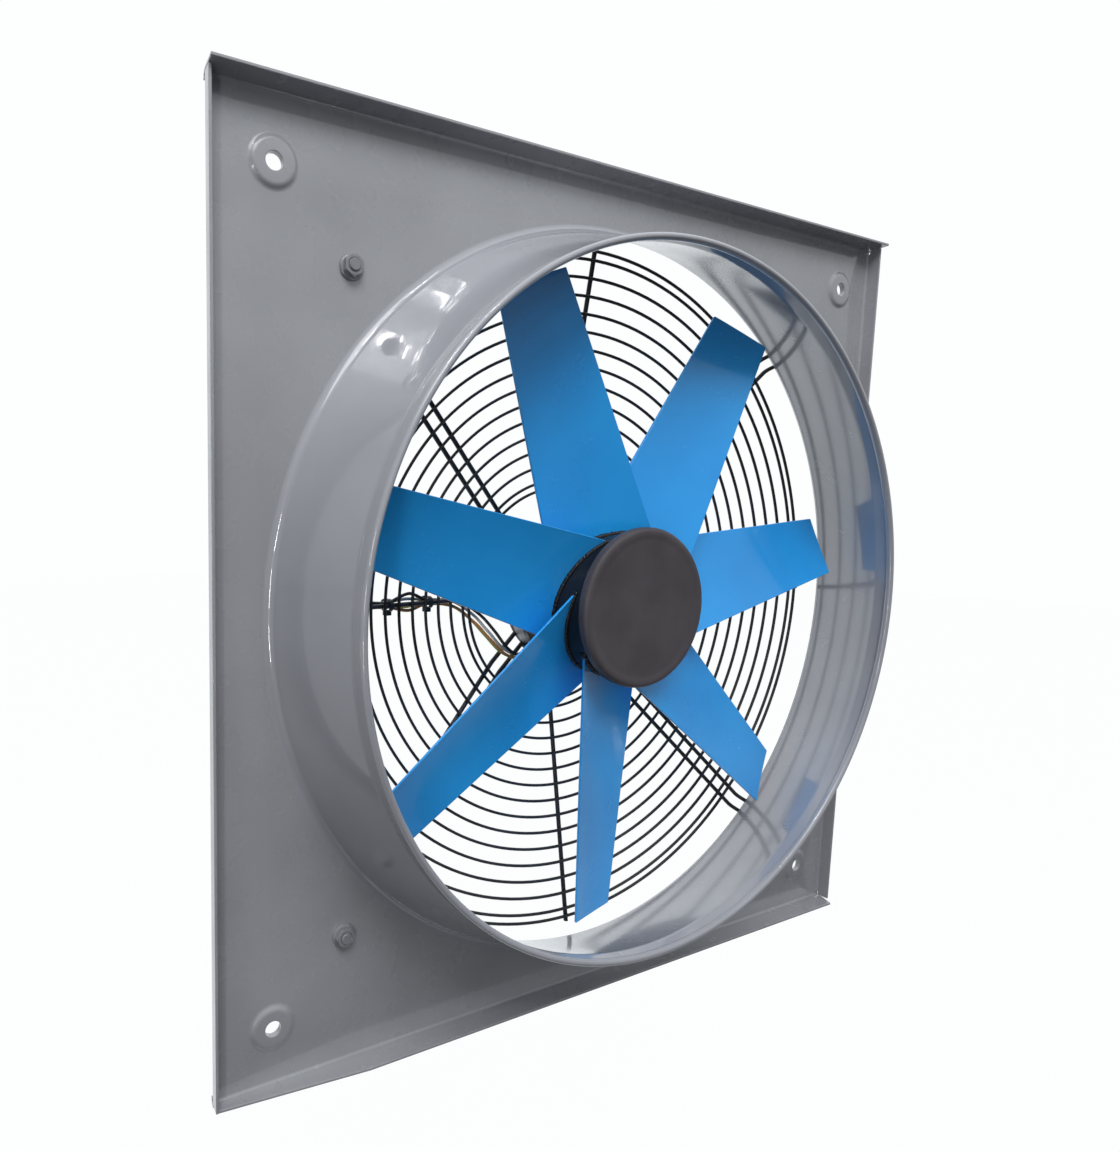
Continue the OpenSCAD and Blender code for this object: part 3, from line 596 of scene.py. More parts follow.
class FanFinishSettings(PropertyGroup):
    plate_light: FloatVectorProperty(
        name="Plate, light tone",
        description="Lighter tone of the grey enamel on the plate",
        default=linear("#97989D"),
        size=4,
        min=0,
        max=1,
        subtype="COLOR",
    )
    plate_dark: FloatVectorProperty(
        name="Plate, dark tone",
        description="Darker tone of the grey enamel on the plate",
        default=linear("#8D8E93"),
        size=4,
        min=0,
        max=1,
        subtype="COLOR",
    )
    cowl_light: FloatVectorProperty(
        name="Cowl, light tone",
        description="Lighter tone of the grey enamel on the cowl",
        default=linear("#9D9EA6"),
        size=4,
        min=0,
        max=1,
        subtype="COLOR",
    )
    cowl_dark: FloatVectorProperty(
        name="Cowl, dark tone",
        description="Darker tone of the grey enamel on the cowl",
        default=linear("#94959C"),
        size=4,
        min=0,
        max=1,
        subtype="COLOR",
    )
    blade_light: FloatVectorProperty(
        name="Blades, light tone",
        description="Lighter tone of the blue enamel on the blades",
        default=linear("#28A2F0"),
        size=4,
        min=0,
        max=1,
        subtype="COLOR",
    )
    blade_dark: FloatVectorProperty(
        name="Blades, dark tone",
        description="Darker tone of the blue enamel on the blades",
        default=linear("#2094E2"),
        size=4,
        min=0,
        max=1,
        subtype="COLOR",
    )
    blade_roughness: FloatProperty(
        name="Blade roughness",
        description="Roughness of the blue enamel on the blades",
        default=0.2,
        min=0.05,
        max=0.8,
        subtype="FACTOR",
    )
    plate_roughness: FloatProperty(
        name="Plate roughness",
        description="Roughness of the grey enamel on the plate",
        default=0.24,
        min=0.05,
        max=0.8,
        subtype="FACTOR",
    )
    cowl_roughness: FloatProperty(
        name="Cowl roughness",
        description="Roughness of the glossier grey enamel on the cowl",
        default=0.12,
        min=0.05,
        max=0.8,
        subtype="FACTOR",
    )


class FanStageSettings(PropertyGroup):
    lens: FloatProperty(
        name="Focal length",
        description="Focal length of the camera, in millimetres",
        default=20.077,
        min=10,
        max=200,
        unit="CAMERA",
        subtype="DISTANCE_CAMERA",
    )
    shift: FloatProperty(
        name="Shift",
        description="Sideways shift of the picture",
        default=0.2274,
        min=-0.5,
        max=0.5,
    )
    eye: FloatVectorProperty(
        name="Eye",
        description="Place of the camera",
        default=(-0.4166, -0.3838, 0.0655),
        subtype="TRANSLATION",
        unit="LENGTH",
        size=3,
    )
    yaw: FloatProperty(
        name="Yaw",
        description="Direction of the camera",
        default=math.radians(22.2053),
        subtype="ANGLE",
        unit="ROTATION",
    )
    pitch: FloatProperty(
        name="Pitch",
        description="Tilt of the camera",
        default=math.radians(-5.1566),
        subtype="ANGLE",
        unit="ROTATION",
    )
    roll: FloatProperty(
        name="Roll",
        description="Roll of the camera",
        default=math.radians(0.2720),
        subtype="ANGLE",
        unit="ROTATION",
    )
    floor_height: FloatProperty(
        name="Floor height",
        description="Height of the studio floor",
        default=-0.75,
        unit="LENGTH",
        subtype="DISTANCE",
    )


# Materials


class FAN_OT_materials(Operator):
    """Make the fan's paints, metals, plastics and rubber"""

    bl_idname = "fan.materials"
    bl_label = "Materials"

    def execute(self, context):
        sizes = context.scene.fan_finish
        # The plate and the cowl have a full clear coat, and the cowl's is the glossier
        for key, name, *gloss in (
            ("plate", "Gloss grey enamel on sheet steel", 1.0, 1.6, 0.03),
            ("cowl", "Gloss grey enamel on spun steel", 1.0, 1.9, 0.03),
            ("blade", "Gloss blue enamel on sheet steel"),
        ):
            light, dark, roughness = (
                getattr(sizes, f"{key}_{part}") for part in ("light", "dark", "roughness")
            )
            MATERIALS[key] = gloss_enamel(name, light, dark, roughness, *gloss)
        # The inside of the cowl takes a darker tone and a duller gloss; the darker tone is painted shade for
        # the inside of the ring
        shaded_enamel = "Darker grey enamel as painted shade"
        for key, make, name, light, dark, *rest in (
            ("cowl_inside", gloss_enamel, shaded_enamel, "#95969D", "#8B8C93", 0.2, 1.0, 1.8, 0.11),
            ("nut", gloss_enamel, "Grey enamel over a flanged nut", "#85868B", "#77787D", 0.3),
            ("guard", powder_coat, "Black powder coat on steel wire", "#2B2B2E", "#1E1E20"),
            ("drum", powder_coat, "Black enamel on the rotor drum", "#19191D", "#101013", 0.3),
            ("zinc", zinc_plate, "Zinc plated steel", "#C3C6CB", "#A9ACB2", 0.42),
            ("steel", zinc_plate, "Ground bearing steel", "#B9BBBE", "#A7A9AC", 0.2),
            ("laminate", zinc_plate, "Stacked electrical steel", "#7B7E84", "#5F6268", 0.45),
            ("copper", zinc_plate, "Varnished copper wire", "#B5703F", "#8F5128", 0.35),
            ("brass", zinc_plate, "Turned brass", "#D1A95A", "#B58C3F", 0.28),
            ("cast", cast_alloy, "Die cast aluminium", "#A9ABAE", "#96989C"),
            ("cover", moulded_plastic, "Charcoal glass filled nylon", "#4C484C", "#433F43", 0.42),
            ("nylon", moulded_plastic, "Black nylon", "#1D1D1F", "#151517", 0.4),
            ("box", moulded_plastic, "Dark grey moulded housing", "#3E4043", "#35373A", 0.5),
            ("block", moulded_plastic, "White terminal nylon", "#E4E0D4", "#D8D3C5", 0.4),
            ("rubber", moulded_plastic, "Black moulded rubber", "#1B1B1B", "#141414", 0.7, 0.0006, 0.00004),
            ("lead_black", moulded_plastic, "Black silicone sleeve", "#1A1A1C", "#131315", 0.45),
            ("lead_brown", moulded_plastic, "Brown silicone sleeve", "#C68443", "#B0723A", 0.45),
            ("lead_grey", moulded_plastic, "Grey silicone sleeve", "#C6C6C6", "#B6B6B7", 0.45),
            ("lead_earth", striped_sleeve, "Green and yellow sleeve", "#7FB53A", "#EFE14A"),
        ):
            MATERIALS[key] = make(name, linear(light), linear(dark), *rest)
        return {"FINISHED"}


# Plate and cowl


def near(value, *places):
    """Whether a length is within a twentieth of a millimetre of one of the places."""
    return any(abs(value - place) < 0.05 * MM for place in places)


class FAN_OT_plate(Operator):
    """Make the wall plate with smooth pressed bosses and broken edges"""

    bl_idname = "fan.plate"
    bl_label = "Wall plate"

    def execute(self, context):
        sizes = context.scene.fan_detail
        shape = merged_copy("wall_plate")
        boss = []
        for edge in shape.edges:
            rims = []
            for vert in edge.verts:
                across, up = (abs(w) - BOSS_PLACE * MM for w in (vert.co.x, vert.co.z))
                rims.append((math.hypot(across, up), -vert.co.y))
            foot = all(near(r, BOSS_FOOT_R * MM) and near(h, SHEET * MM) for r, h in rims)
            crown = all(near(r, BOSS_TOP_R * MM) and near(h, BOSS_TOP * MM) for r, h in rims)
            if foot or crown:
                boss.append(edge)
        if len(boss) < 100:
            raise RuntimeError("the bosses of the plate were not found")
        pressed = 1.3 * MM
        bmesh.ops.bevel(
            shape, geom=boss, offset=pressed, offset_type="OFFSET", segments=4, profile=0.5, affect="EDGES"
        )

        # The side folds reach the top and bottom folds, so that the corners close
        bend = 2 * SHEET
        for vert in shape.verts:
            in_side = abs(vert.co.x) > (HALF_SIDE - bend - 0.1) * MM and vert.co.y < -(bend - 0.1) * MM
            if in_side and near(abs(vert.co.z), SIDE_FOLD_END * MM):
                vert.co.z = math.copysign((HALF_SIDE - SHEET - 0.2) * MM, vert.co.z)

        def stays_sharp(edge):
            opening, corner = (COWL_FOOT[0] + 1) * MM, (SIDE_FOLD_END - 1.5) * MM
            at_cowl = all(math.hypot(v.co.x, v.co.z) < opening for v in edge.verts)
            at_corner = all(min(abs(v.co.x), abs(v.co.z)) > corner and v.co.y > -6 * MM for v in edge.verts)
            return at_cowl or at_corner

        finish_edges(shape, "wall_plate", "plate", "housing", sizes.edge_break, skip=stays_sharp)
        return {"FINISHED"}


class FAN_OT_cowl(Operator):
    """Spin the cowl from its sheet section, with a round rim"""

    bl_idname = "fan.cowl"
    bl_label = "Cowl"

    def execute(self, context):
        foot, knee = Vector(COWL_FOOT), Vector((COWL_R, BAND_START))
        lean = math.atan2(foot.x - knee.x, knee.y - foot.y) - math.asin(COWL_BEND / (foot - knee).length)
        inner = foot - (COWL_BEND + SHEET) * Vector((math.cos(lean), math.sin(lean)))
        bore = COWL_R - SHEET
        inside = Vector((bore, inner.y + (inner.x - bore) / math.tan(lean)))
        turns = [math.radians(270) + (lean - math.radians(90)) * k / 12 for k in range(13)]
        front = [foot + COWL_BEND * Vector((math.cos(a), math.sin(a))) for a in turns]
        back = [foot + (COWL_BEND + SHEET) * Vector((math.cos(a), math.sin(a))) for a in turns]
        # The rim is curled inwards over a small round
        rim = Vector((COWL_R - RIM_ROUND, COWL_FRONT - RIM_ROUND))
        round_turns = [math.pi * k / 16 for k in range(1, 23)]
        curl = [rim + RIM_ROUND * Vector((math.cos(a), math.sin(a))) for a in round_turns]
        outside = rounded_path([front[-1], knee, (COWL_R, rim.y)], 9)
        within = rounded_path([(bore, rim.y - 3), inside, back[-1]], 7)
        profile = [(p[0], p[1]) for p in front[:-1] + outside + curl + within + back[::-1][1:]]
        mesh = lathe("cowl_ring_finished", profile, context.scene.fan_detail.cowl_segments)
        stands_for(new_object(mesh.name, mesh), "cowl", "housing", "cowl_ring")
        # The side that faces the blades takes the darker, duller enamel, whose darker tone is painted shade
        mesh.materials.append(MATERIALS["cowl_inside"])
        for face in mesh.polygons:
            towards = face.normal.x * face.center.x + face.normal.z * face.center.z
            face.material_index = int(towards < -0.3 * math.hypot(face.center.x, face.center.z))
        return {"FINISHED"}


# Guard


def arm_path(turn):
    """The middle of one hairpin arm: in along one side, round its bolt and out along the other."""
    start, level, rise = 30, wire_level(KNEE_R), GUARD_R + 17
    bends = [(start, level), (KNEE_R, level), (rise, wire_level(rise))]
    bends += [(rise + 11, ARM_FLAT), (BOLT_R, ARM_FLAT)]
    side = rounded_path(bends, 9)
    half = ARM_GAP / 2
    there = [Vector((p[0], -half, p[1])) for p in side]
    back = [Vector((p[0], half, p[1])) for p in reversed(side)]
    loop = [
        Vector((BOLT_R + half * math.cos(a), half * math.sin(a), ARM_FLAT))
        for a in (math.pi * (k / 20 - 0.5) for k in range(1, 20))
    ]
    spin = Matrix.Rotation(turn, 3, "Z")
    return [spin @ p for p in there + loop + back]


def line_mesh(name, paths):
    """Open runs of edges through places in the construction's own directions, in millimetres."""
    mesh = bpy.data.meshes.new(name)
    places, edges = [], []
    for path in paths:
        edges += [(len(places) + k, len(places) + k + 1) for k in range(len(path) - 1)]
        places += [spot(p[0], p[1], p[2]) for p in path]
    mesh.from_pydata(places, edges, [])
    return mesh


class FAN_OT_guard(Operator):
    """Grow the guard's rings, struts and hairpin arms, and a weld at every crossing"""

    bl_idname = "fan.guard"
    bl_label = "Wire guard"

    def execute(self, context):
        sizes = context.scene.fan_detail
        start = bpy.data.meshes.new("guard_start")
        start.from_pydata([(0, 0, 0)], [], [])
        values = {
            "Rings": RING_COUNT,
            "Outer radius": GUARD_R * MM,
            "Pitch": RING_PITCH * MM,
            "Wire": RING_D * MM,
            "Gap": GUARD_GAP * MM,
            "Slope": math.tan(DISH),
        }
        rings = grown("guard_rings_finished", start, ring_tree(MATERIALS["guard"]), values)
        stands_for(rings, "guard", "housing", "guard_rings")

        wire = wire_tree("Guard wire", MATERIALS["guard"])
        low, high = INNER_R - 4, GUARD_R + 6
        struts = []
        for k in range(4):
            spin = Matrix.Rotation(math.pi / 2 * k, 3, "Z")
            struts.append([spin @ Vector((r, 0, wire_level(r))) for r in (low, (low + high) / 2, high)])
        given = {"Diameter": STRUT_D * MM, "Sides": 14}
        straight = grown("guard_struts_finished", line_mesh("strut_lines", struts), wire, given)
        stands_for(straight, "guard", "housing", "guard_struts")
        arms = [arm_path(math.pi / 4 + math.pi / 2 * k) for k in range(4)]
        bent = grown("guard_arms_finished", line_mesh("arm_lines", arms), wire, given)
        stands_for(bent, "guard", "housing", "guard_arms")

        steps = [0] + [k + 0.5 for k in range(RING_COUNT - 2)] + [RING_COUNT - 2]
        places = []
        for r in (GUARD_R - RING_PITCH * step for step in steps):
            level = ring_level(r) - RING_D / 2
            for k in range(8):
                for across in ((0,) if k % 2 == 0 else (-ARM_GAP / 2, ARM_GAP / 2)):
                    along = math.sqrt(r * r - across * across)
                    turn = math.pi / 4 * k
                    x = along * math.cos(turn) - across * math.sin(turn)
                    y = along * math.sin(turn) + across * math.cos(turn)
                    places.append(spot(x, y, level))
        points = bpy.data.meshes.new("weld_places")
        points.from_pydata(places, [], [])
        drop = {"Size": sizes.spot_weld, "Seed": 4}
        welds = grown("guard_spot_welds", points, weld_tree(MATERIALS["guard"]), drop)
        stands_for(welds, "guard", "housing", slot="guard_black")
        return {"FINISHED"}


# Fasteners


def hexagon(low, high, flats, chamfer):
    """Rings of a hexagon with chamfered corners: height, radius and half width over flats."""
    corner = flats / 2 / math.cos(math.pi / 6)
    # The chamfer slopes at about 30 degrees
    rise = chamfer * 0.58
    return [
        (low, corner - chamfer, flats / 2),
        (low + rise * 0.5, corner - chamfer * 0.45, flats / 2),
        (low + rise, corner, flats / 2),
        (high - rise, corner, flats / 2),
        (high - rise * 0.5, corner - chamfer * 0.45, flats / 2),
        (high, corner - chamfer, flats / 2),
    ]


def thread(low, high, radius, pitch):
    """Rings of a threaded shank, as close ridges."""
    rings, h = [(low, radius, None)], low + pitch
    while h < high - pitch:
        rings += [(h - pitch / 2, radius - pitch * 0.45, None), (h, radius, None)]
        h += pitch
    return rings + [(high - 0.6, radius, None), (high, radius - 0.6, None)]


class FAN_OT_fasteners(Operator):
    """Make the guard bolts, washers and flanged nuts at the plate's four corners"""

    bl_idname = "fan.fasteners"
    bl_label = "Guard fasteners"

    def execute(self, context):
        back = ARM_FLAT - STRUT_D / 2 - SEAT - WASHER
        under = back - SEAT
        bolt = hexagon(under - HEAD_HEIGHT, under, BOLT_FLATS, 0.9)
        bolt += thread(under, SHEET + NUT_HEIGHT + 1, BOLT_SHANK_R, THREAD_PITCH)
        # Height above the plate, radius, and half width over flats of the flanged nut
        nut = [
            (0, 4.05, None), (0, 8.3, None), (0.3, 8.48, None), (0.9, 8.48, None), (1.2, 8.25, None),
            (1.9, 7.1, None), (1.95, 7.3, 6.4), (4.5, 7.3, 6.4), (5.0, 6.75, 6.4), (NUT_HEIGHT, 6.2, 6.2),
            (NUT_HEIGHT, 4.6, None), (4.8, 4.05, None),
        ]
        nut = [(SHEET + h, r, flat) for h, r, flat in nut]
        washer = [(0, 4.3), (0, 11.7), (0.3, 12), (WASHER - 0.3, 12), (WASHER, 11.7), (WASHER, 4.3)]
        washer = [(back + h, r, None) for h, r in washer]
        spacing = BOLT_R * math.sqrt(2) * MM
        zinc = corner_tree("Zinc fasteners", MATERIALS["zinc"])
        grey = corner_tree("Grey nuts", MATERIALS["nut"])
        pieces = (
            ("guard_bolts", "zinc", zinc, turned("bolt", bolt), 3),
            ("guard_nuts", "nut", grey, turned("nut", nut, closed=True), 5),
            ("guard_washers", "zinc", zinc, turned("washer", washer, closed=True), 7),
        )
        for node, key, tree, mesh, seed in pieces:
            obj = grown(f"{node}_finished", mesh, tree, {"Spacing": spacing, "Seed": seed})
            smooth(obj.data, 28)
            stands_for(obj, key, "housing", node)
            if node == "guard_bolts":
                # The end that stands out of the nut was enamelled with it
                obj.data.materials.append(MATERIALS["nut"])
                for face in obj.data.polygons:
                    face.material_index = int(face.center.y < -(SHEET + NUT_HEIGHT - 0.4) * MM)
        return {"FINISHED"}


# Motor and blades


class FAN_OT_motor(Operator):
    """Break the edges of the motor's mount plate, flange, screws and bearings"""

    bl_idname = "fan.motor"
    bl_label = "Motor mount"

    def execute(self, context):
        for node, key, width in (
            ("motor_mount_plate", "guard", 0.4),
            ("motor_flange", "cast", 0.8),
            ("motor_screws", "zinc", 0.3),
            ("motor_lock_washers", "zinc", 0.2),
            ("bearing_cap", "zinc", 0.3),
            ("rear_bearing", "steel", 0.2),
            ("lead_grommet", "rubber", 0.3),
        ):
            softened(node, key, "housing", width)
        return {"FINISHED"}


class FAN_OT_rotor(Operator):
    """Make the rotor drum, its cover and the rounded shaft"""

    bl_idname = "fan.rotor"
    bl_label = "Rotor"

    def execute(self, context):
        low, high = DRUM_LEVEL, DRUM_FRONT
        r, wall, shaft = DRUM_R, 51.5, 6.01
        drum = [
            (shaft, high), (r - 0.8, high), (r - 0.2, high - 0.2), (r, high - 0.8), (r, low + 6.4),
            (r - 0.4, low + 6.1), (r - 0.4, low + 4.9), (r, low + 4.6), (r, low + 0.8), (r - 0.3, low + 0.2),
            (r - 0.8, low), (wall + 0.5, low), (wall, low + 0.5), (wall, high - 9), (wall - 3, high - 6),
            (13, high - 6), (10, high - 9), (10, high - 11.6), (shaft, high - 11.6),
        ]
        mesh = lathe("rotor_drum_finished", drum, 224)
        stands_for(new_object(mesh.name, mesh), "drum", "impeller", "rotor_drum")

        # A shallow dish and a thin raised lip, as such covers are moulded, with a round edge
        front, edge = high + 2.5, 3.5
        dish = [(0, front - 0.5), (50, front - 0.5), (52.5, front - 0.4), (54.2, front)]
        turns = [math.pi / 16 * k for k in range(8, -1, -1)]
        lip = [(COVER_R - edge + edge * math.cos(a), front - edge + edge * math.sin(a)) for a in turns]
        fit = r + 0.02
        skirt = [(COVER_R, front - 6.6), (COVER_R - 0.4, front - 7), (r + 0.4, front - 7), (fit, front - 6.6)]
        mesh = lathe("hub_cover_finished", dish + lip + skirt + [(fit, high), (0, high)], 224)
        stands_for(new_object(mesh.name, mesh), "cover", "impeller", "hub_cover")
        softened("shaft", "steel", "impeller", 0.5)
        return {"FINISHED"}


class FAN_OT_blades(Operator):
    """Round the edges of the sheet blades and weld them to the drum"""

    bl_idname = "fan.blades"
    bl_label = "Blades"

    def execute(self, context):
        sizes = context.scene.fan_detail
        tree = bead_tree(MATERIALS["drum"])
        for number in range(1, 8):
            node = f"blade_{number}"
            softened(node, "blade", "impeller", 0.7, 3)
            shape = merged_copy(node)
            away = [
                edge
                for edge in shape.edges
                if any(math.hypot(v.co.x, v.co.z) >= (DRUM_R + 0.2) * MM for v in edge.verts)
            ]
            bmesh.ops.delete(shape, geom=away, context="EDGES")
            line = bpy.data.meshes.new(f"{node}_root")
            shape.to_mesh(line)
            shape.free()
            if len(line.edges) < 8:
                raise RuntimeError(f"the root of {node} was not found")
            given = {"Ripple": sizes.ripple, "Size": sizes.bead, "Seed": number}
            bead = grown(f"{node}_weld", line, tree, given)
            stands_for(bead, "drum", "impeller", slot="drum_black")
        return {"FINISHED"}


# Leads and terminal box


def lead_route():
    """Places of the bundle's middle, with what loose leads add to the side and away from the middle."""
    exit_level, tie, inlet = MOTOR_LEVEL - 6, -STRUT_D / 2 - 2.85, -17.4
    box = GUARD_R - RING_PITCH * 3.5

    def along(r, back, down, *loose):
        return (-r, -down, wire_level(r) + back, *loose)

    return [
        (-29, -37, exit_level, 0, 0),
        (-36, -46, exit_level, 0, 0),
        (-46, -49, exit_level - 1, 0, 0),
        (-59, -43, exit_level - 3, 1, 1),
        (24 - INNER_R, -30, exit_level - 11, 2, 1),
        (15 - INNER_R, -17, exit_level - 20, 2, 1),
        along(INNER_R + 8, tie - 4, 4, 1, 1),
        along(GUARD_R - RING_PITCH * 11, tie, 0, 0, 0),
        along(GUARD_R - RING_PITCH * 9.5, tie - 1, 0, 4, 1),
        along(GUARD_R - RING_PITCH * 8, tie, 0, 0, 0),
        along(GUARD_R - RING_PITCH * 8 + 6, tie, 0, 0, 0),
        along(box - 40, inlet + 1, 0, 0, 0),
        along(box - 23, inlet, 0, 0, 0),
    ]


def eased(route, steps):
    """The route with steps places between two of its own, on a smooth curve."""
    result = []
    for i in range(len(route) - 1):
        a, b, c, d = (route[max(0, min(len(route) - 1, i + k))] for k in (-1, 0, 1, 2))
        for t in (k / steps for k in range(steps)):
            place = []
            for p, q, r, s in zip(a, b, c, d):
                square, cube = 2 * p - 5 * q + 4 * r - s, 3 * q - p - 3 * r + s
                place.append(0.5 * (2 * q + (r - p) * t + square * t * t + cube * t**3))
            result.append(tuple(place))
    return result + [route[-1]]


def lead_path(side, front, loose):
    """The middle of one lead."""
    route = eased(lead_route(), 8)
    middle = [Vector(place[:3]) for place in route]
    path = []
    for i, place in enumerate(route):
        along = (middle[min(i + 1, len(middle) - 1)] - middle[max(i - 1, 0)]).normalized()
        beside = along.cross(Vector((0, 0, 1))).normalized()
        over = beside.cross(along)
        out = side + math.copysign(loose * place[3], side)
        up = front + math.copysign(loose * place[4], front)
        path.append(middle[i] + beside * out + over * up)
    return path


class FAN_OT_leads(Operator):
    """Lay the four motor leads along the strut and tie them"""

    bl_idname = "fan.leads"
    bl_label = "Motor leads"

    def execute(self, context):
        off = LEAD_D / 2 + 0.12
        for node, side, front, loose in (
            ("lead_black", off, off, 1.6),
            ("lead_brown", -off, off, 1.0),
            ("lead_grey", off, -off, 0.4),
            ("lead_earth", -off, -off, 0.4),
        ):
            tree = wire_tree(f"Sleeve of {node}", MATERIALS[node])
            line = line_mesh(f"{node}_line", [lead_path(side, front, loose)])
            sleeve = grown(f"{node}_finished", line, tree, {"Diameter": LEAD_D * MM, "Sides": 14})
            stands_for(sleeve, node, "housing", node)
        softened("lead_ties", "nylon", "housing", 0.25)
        return {"FINISHED"}


class FAN_OT_terminal_box(Operator):
    """Break the edges of the terminal box and all that carries it"""

    bl_idname = "fan.terminal_box"
    bl_label = "Terminal box"

    def execute(self, context):
        for node, key, width in (
            ("box_bracket", "zinc", 0.3),
            ("strut_clips", "zinc", 0.2),
            ("clip_screws", "zinc", 0.2),
            ("terminal_box", "box", 0.8),
            ("box_lid", "box", 0.8),
            ("lid_screws", "zinc", 0.2),
            ("box_grommet", "rubber", 0.4),
            ("supply_gland", "nylon", 0.5),
            ("gland_nut", "nylon", 0.4),
        ):
            softened(node, key, "housing", width)
        return {"FINISHED"}


NODE_FINISH = {
    "steel": ["front_bearing", "preload_spring", "shaft_circlip"],
    "laminate": ["stator_core", "rotor_core"],
    "cast": ["rotor_cage"],
    "copper": ["stator_winding"],
    "rubber": ["lid_seal"],
    "zinc": ["box_screws"],
    "block": ["terminal_block"],
    "brass": ["terminal_screws"],
}


class FAN_OT_carried_finishes(Operator):
    """Give the construction pieces inside the motor and the box their finishes"""

    bl_idname = "fan.carried_finishes"
    bl_label = "Carried pieces"

    def execute(self, context):
        for key, names in NODE_FINISH.items():
            for name in names:
                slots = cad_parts[name].material_slots
                if not slots:
                    raise RuntimeError(f"{name} has no material slot")
                for slot in slots:
                    slot.material = MATERIALS[key]
        return {"FINISHED"}


# Camera, floor and lights


WHITE = linear("#FDFFFF")


def area_light(name, place, target, width, height, power):
    """A soft rectangular lamp that faces a target."""
    lamp = bpy.data.lights.new(name, "AREA")
    lamp.shape = "RECTANGLE"
    lamp.size = width
    lamp.size_y = height
    lamp.energy = power
    obj = bpy.data.objects.new(name, lamp)
    obj.location = place
    obj.rotation_euler = (Vector(target) - Vector(place)).to_track_quat("-Z", "Y").to_euler()
    bpy.context.scene.collection.objects.link(obj)
    return obj


def aim_camera(scene, sizes):
    """The camera at the photograph's viewing angle."""
    lens = bpy.data.cameras.new("Camera")
    lens.lens = sizes.lens
    lens.shift_x = sizes.shift
    lens.clip_start = 0.01
    camera = bpy.data.objects.new("Camera", lens)
    flat = math.cos(sizes.pitch)
    ahead = Vector((math.sin(sizes.yaw) * flat, math.cos(sizes.yaw) * flat, math.sin(sizes.pitch)))
    level = Vector((math.cos(sizes.yaw), -math.sin(sizes.yaw), 0))
    over = level.cross(ahead)
    right = math.cos(sizes.roll) * level + math.sin(sizes.roll) * over
    up = -math.sin(sizes.roll) * level + math.cos(sizes.roll) * over
    camera.matrix_world = Matrix.Translation(sizes.eye) @ Matrix((right, up, -ahead)).transposed().to_4x4()
    scene.collection.objects.link(camera)
    scene.camera = camera


def light_room(scene):
    """Light on the fan: a bright backdrop behind it, and in front a room that gets darker downwards."""
    world = bpy.data.worlds.new("Studio")
    world.use_nodes = True
    scene.world = world
    tree = world.node_tree
    tree.nodes.clear()
    parts = add(tree, "ShaderNodeSeparateXYZ", {0: add(tree, "ShaderNodeTexCoord").outputs["Generated"]})
    shares = []
    # Upwards, backwards, to the right and to the left: each runs between two levels over a part of its axis
    for axis, start, stop, low, high in (
        (2, -0.38, 0.7, 0.03, 0.8),
        (1, -0.3, 0.7, 0.0, 1.0),
        (0, -0.9, -0.5, 0.25, 1.0),
        (0, -0.7, -0.45, 1.0, 0.0),
    ):
        ends = {"From Min": start, "From Max": stop, "To Min": low, "To Max": high}
        shares.append(add(tree, "ShaderNodeMapRange", {"Value": parts.outputs[axis], **ends}))
    room, behind, rightwards, left = shares
    bright = add(tree, "ShaderNodeMath", {0: behind, 1: rightwards}, operation="MULTIPLY")
    level = add(tree, "ShaderNodeMix", {0: bright, 2: room, 3: 0.95}, data_type="FLOAT")
    # What gloss mirrors on the left is level with the plate, so the cowl shows no edge of it
    path = add(tree, "ShaderNodeLightPath")
    mirrored = add(tree, "ShaderNodeMath", {0: left, 1: path.outputs["Is Glossy Ray"]}, operation="MULTIPLY")
    plain = add(tree, "ShaderNodeMix", {0: mirrored, 2: level, 3: 0.27}, data_type="FLOAT")
    soft = add(tree, "ShaderNodeBackground", {"Color": linear("#F7FCFF"), "Strength": plain})
    white = add(tree, "ShaderNodeBackground", {"Color": WHITE, "Strength": 1.0})
    mixed = add(tree, "ShaderNodeMixShader", {0: path.outputs["Is Camera Ray"], 1: soft, 2: white})
    add(tree, "ShaderNodeOutputWorld", {"Surface": mixed})


def lay_floor(height):
    """White studio paper, nearly as bright as the backdrop, which keeps the fan's shadow."""
    half = 9.0
    mesh = bpy.data.meshes.new("Floor")
    corners = [(-half, -half, height), (half, -half, height), (half, half, height), (-half, half, height)]
    mesh.from_pydata(corners, [], [(0, 1, 2, 3)])
    floor = new_object("Floor", mesh)
    paper = bpy.data.materials.new("White studio paper")
    paper.use_nodes = True
    tree = paper.node_tree
    tree.nodes.clear()
    path = add(tree, "ShaderNodeLightPath")
    matt = add(tree, "ShaderNodeBsdfDiffuse", {"Color": linear("#E7E7E7")})
    glow = add(tree, "ShaderNodeEmission", {"Color": WHITE, "Strength": 1.0})
    share = add(tree, "ShaderNodeMath", {0: path.outputs["Is Camera Ray"], 1: 0.98}, operation="MULTIPLY")
    mixed = add(tree, "ShaderNodeMixShader", {0: share, 1: matt, 2: glow})
    add(tree, "ShaderNodeOutputMaterial", {"Surface": mixed})
    mesh.materials.append(paper)
    floor.visible_diffuse = False
    floor.visible_glossy = False


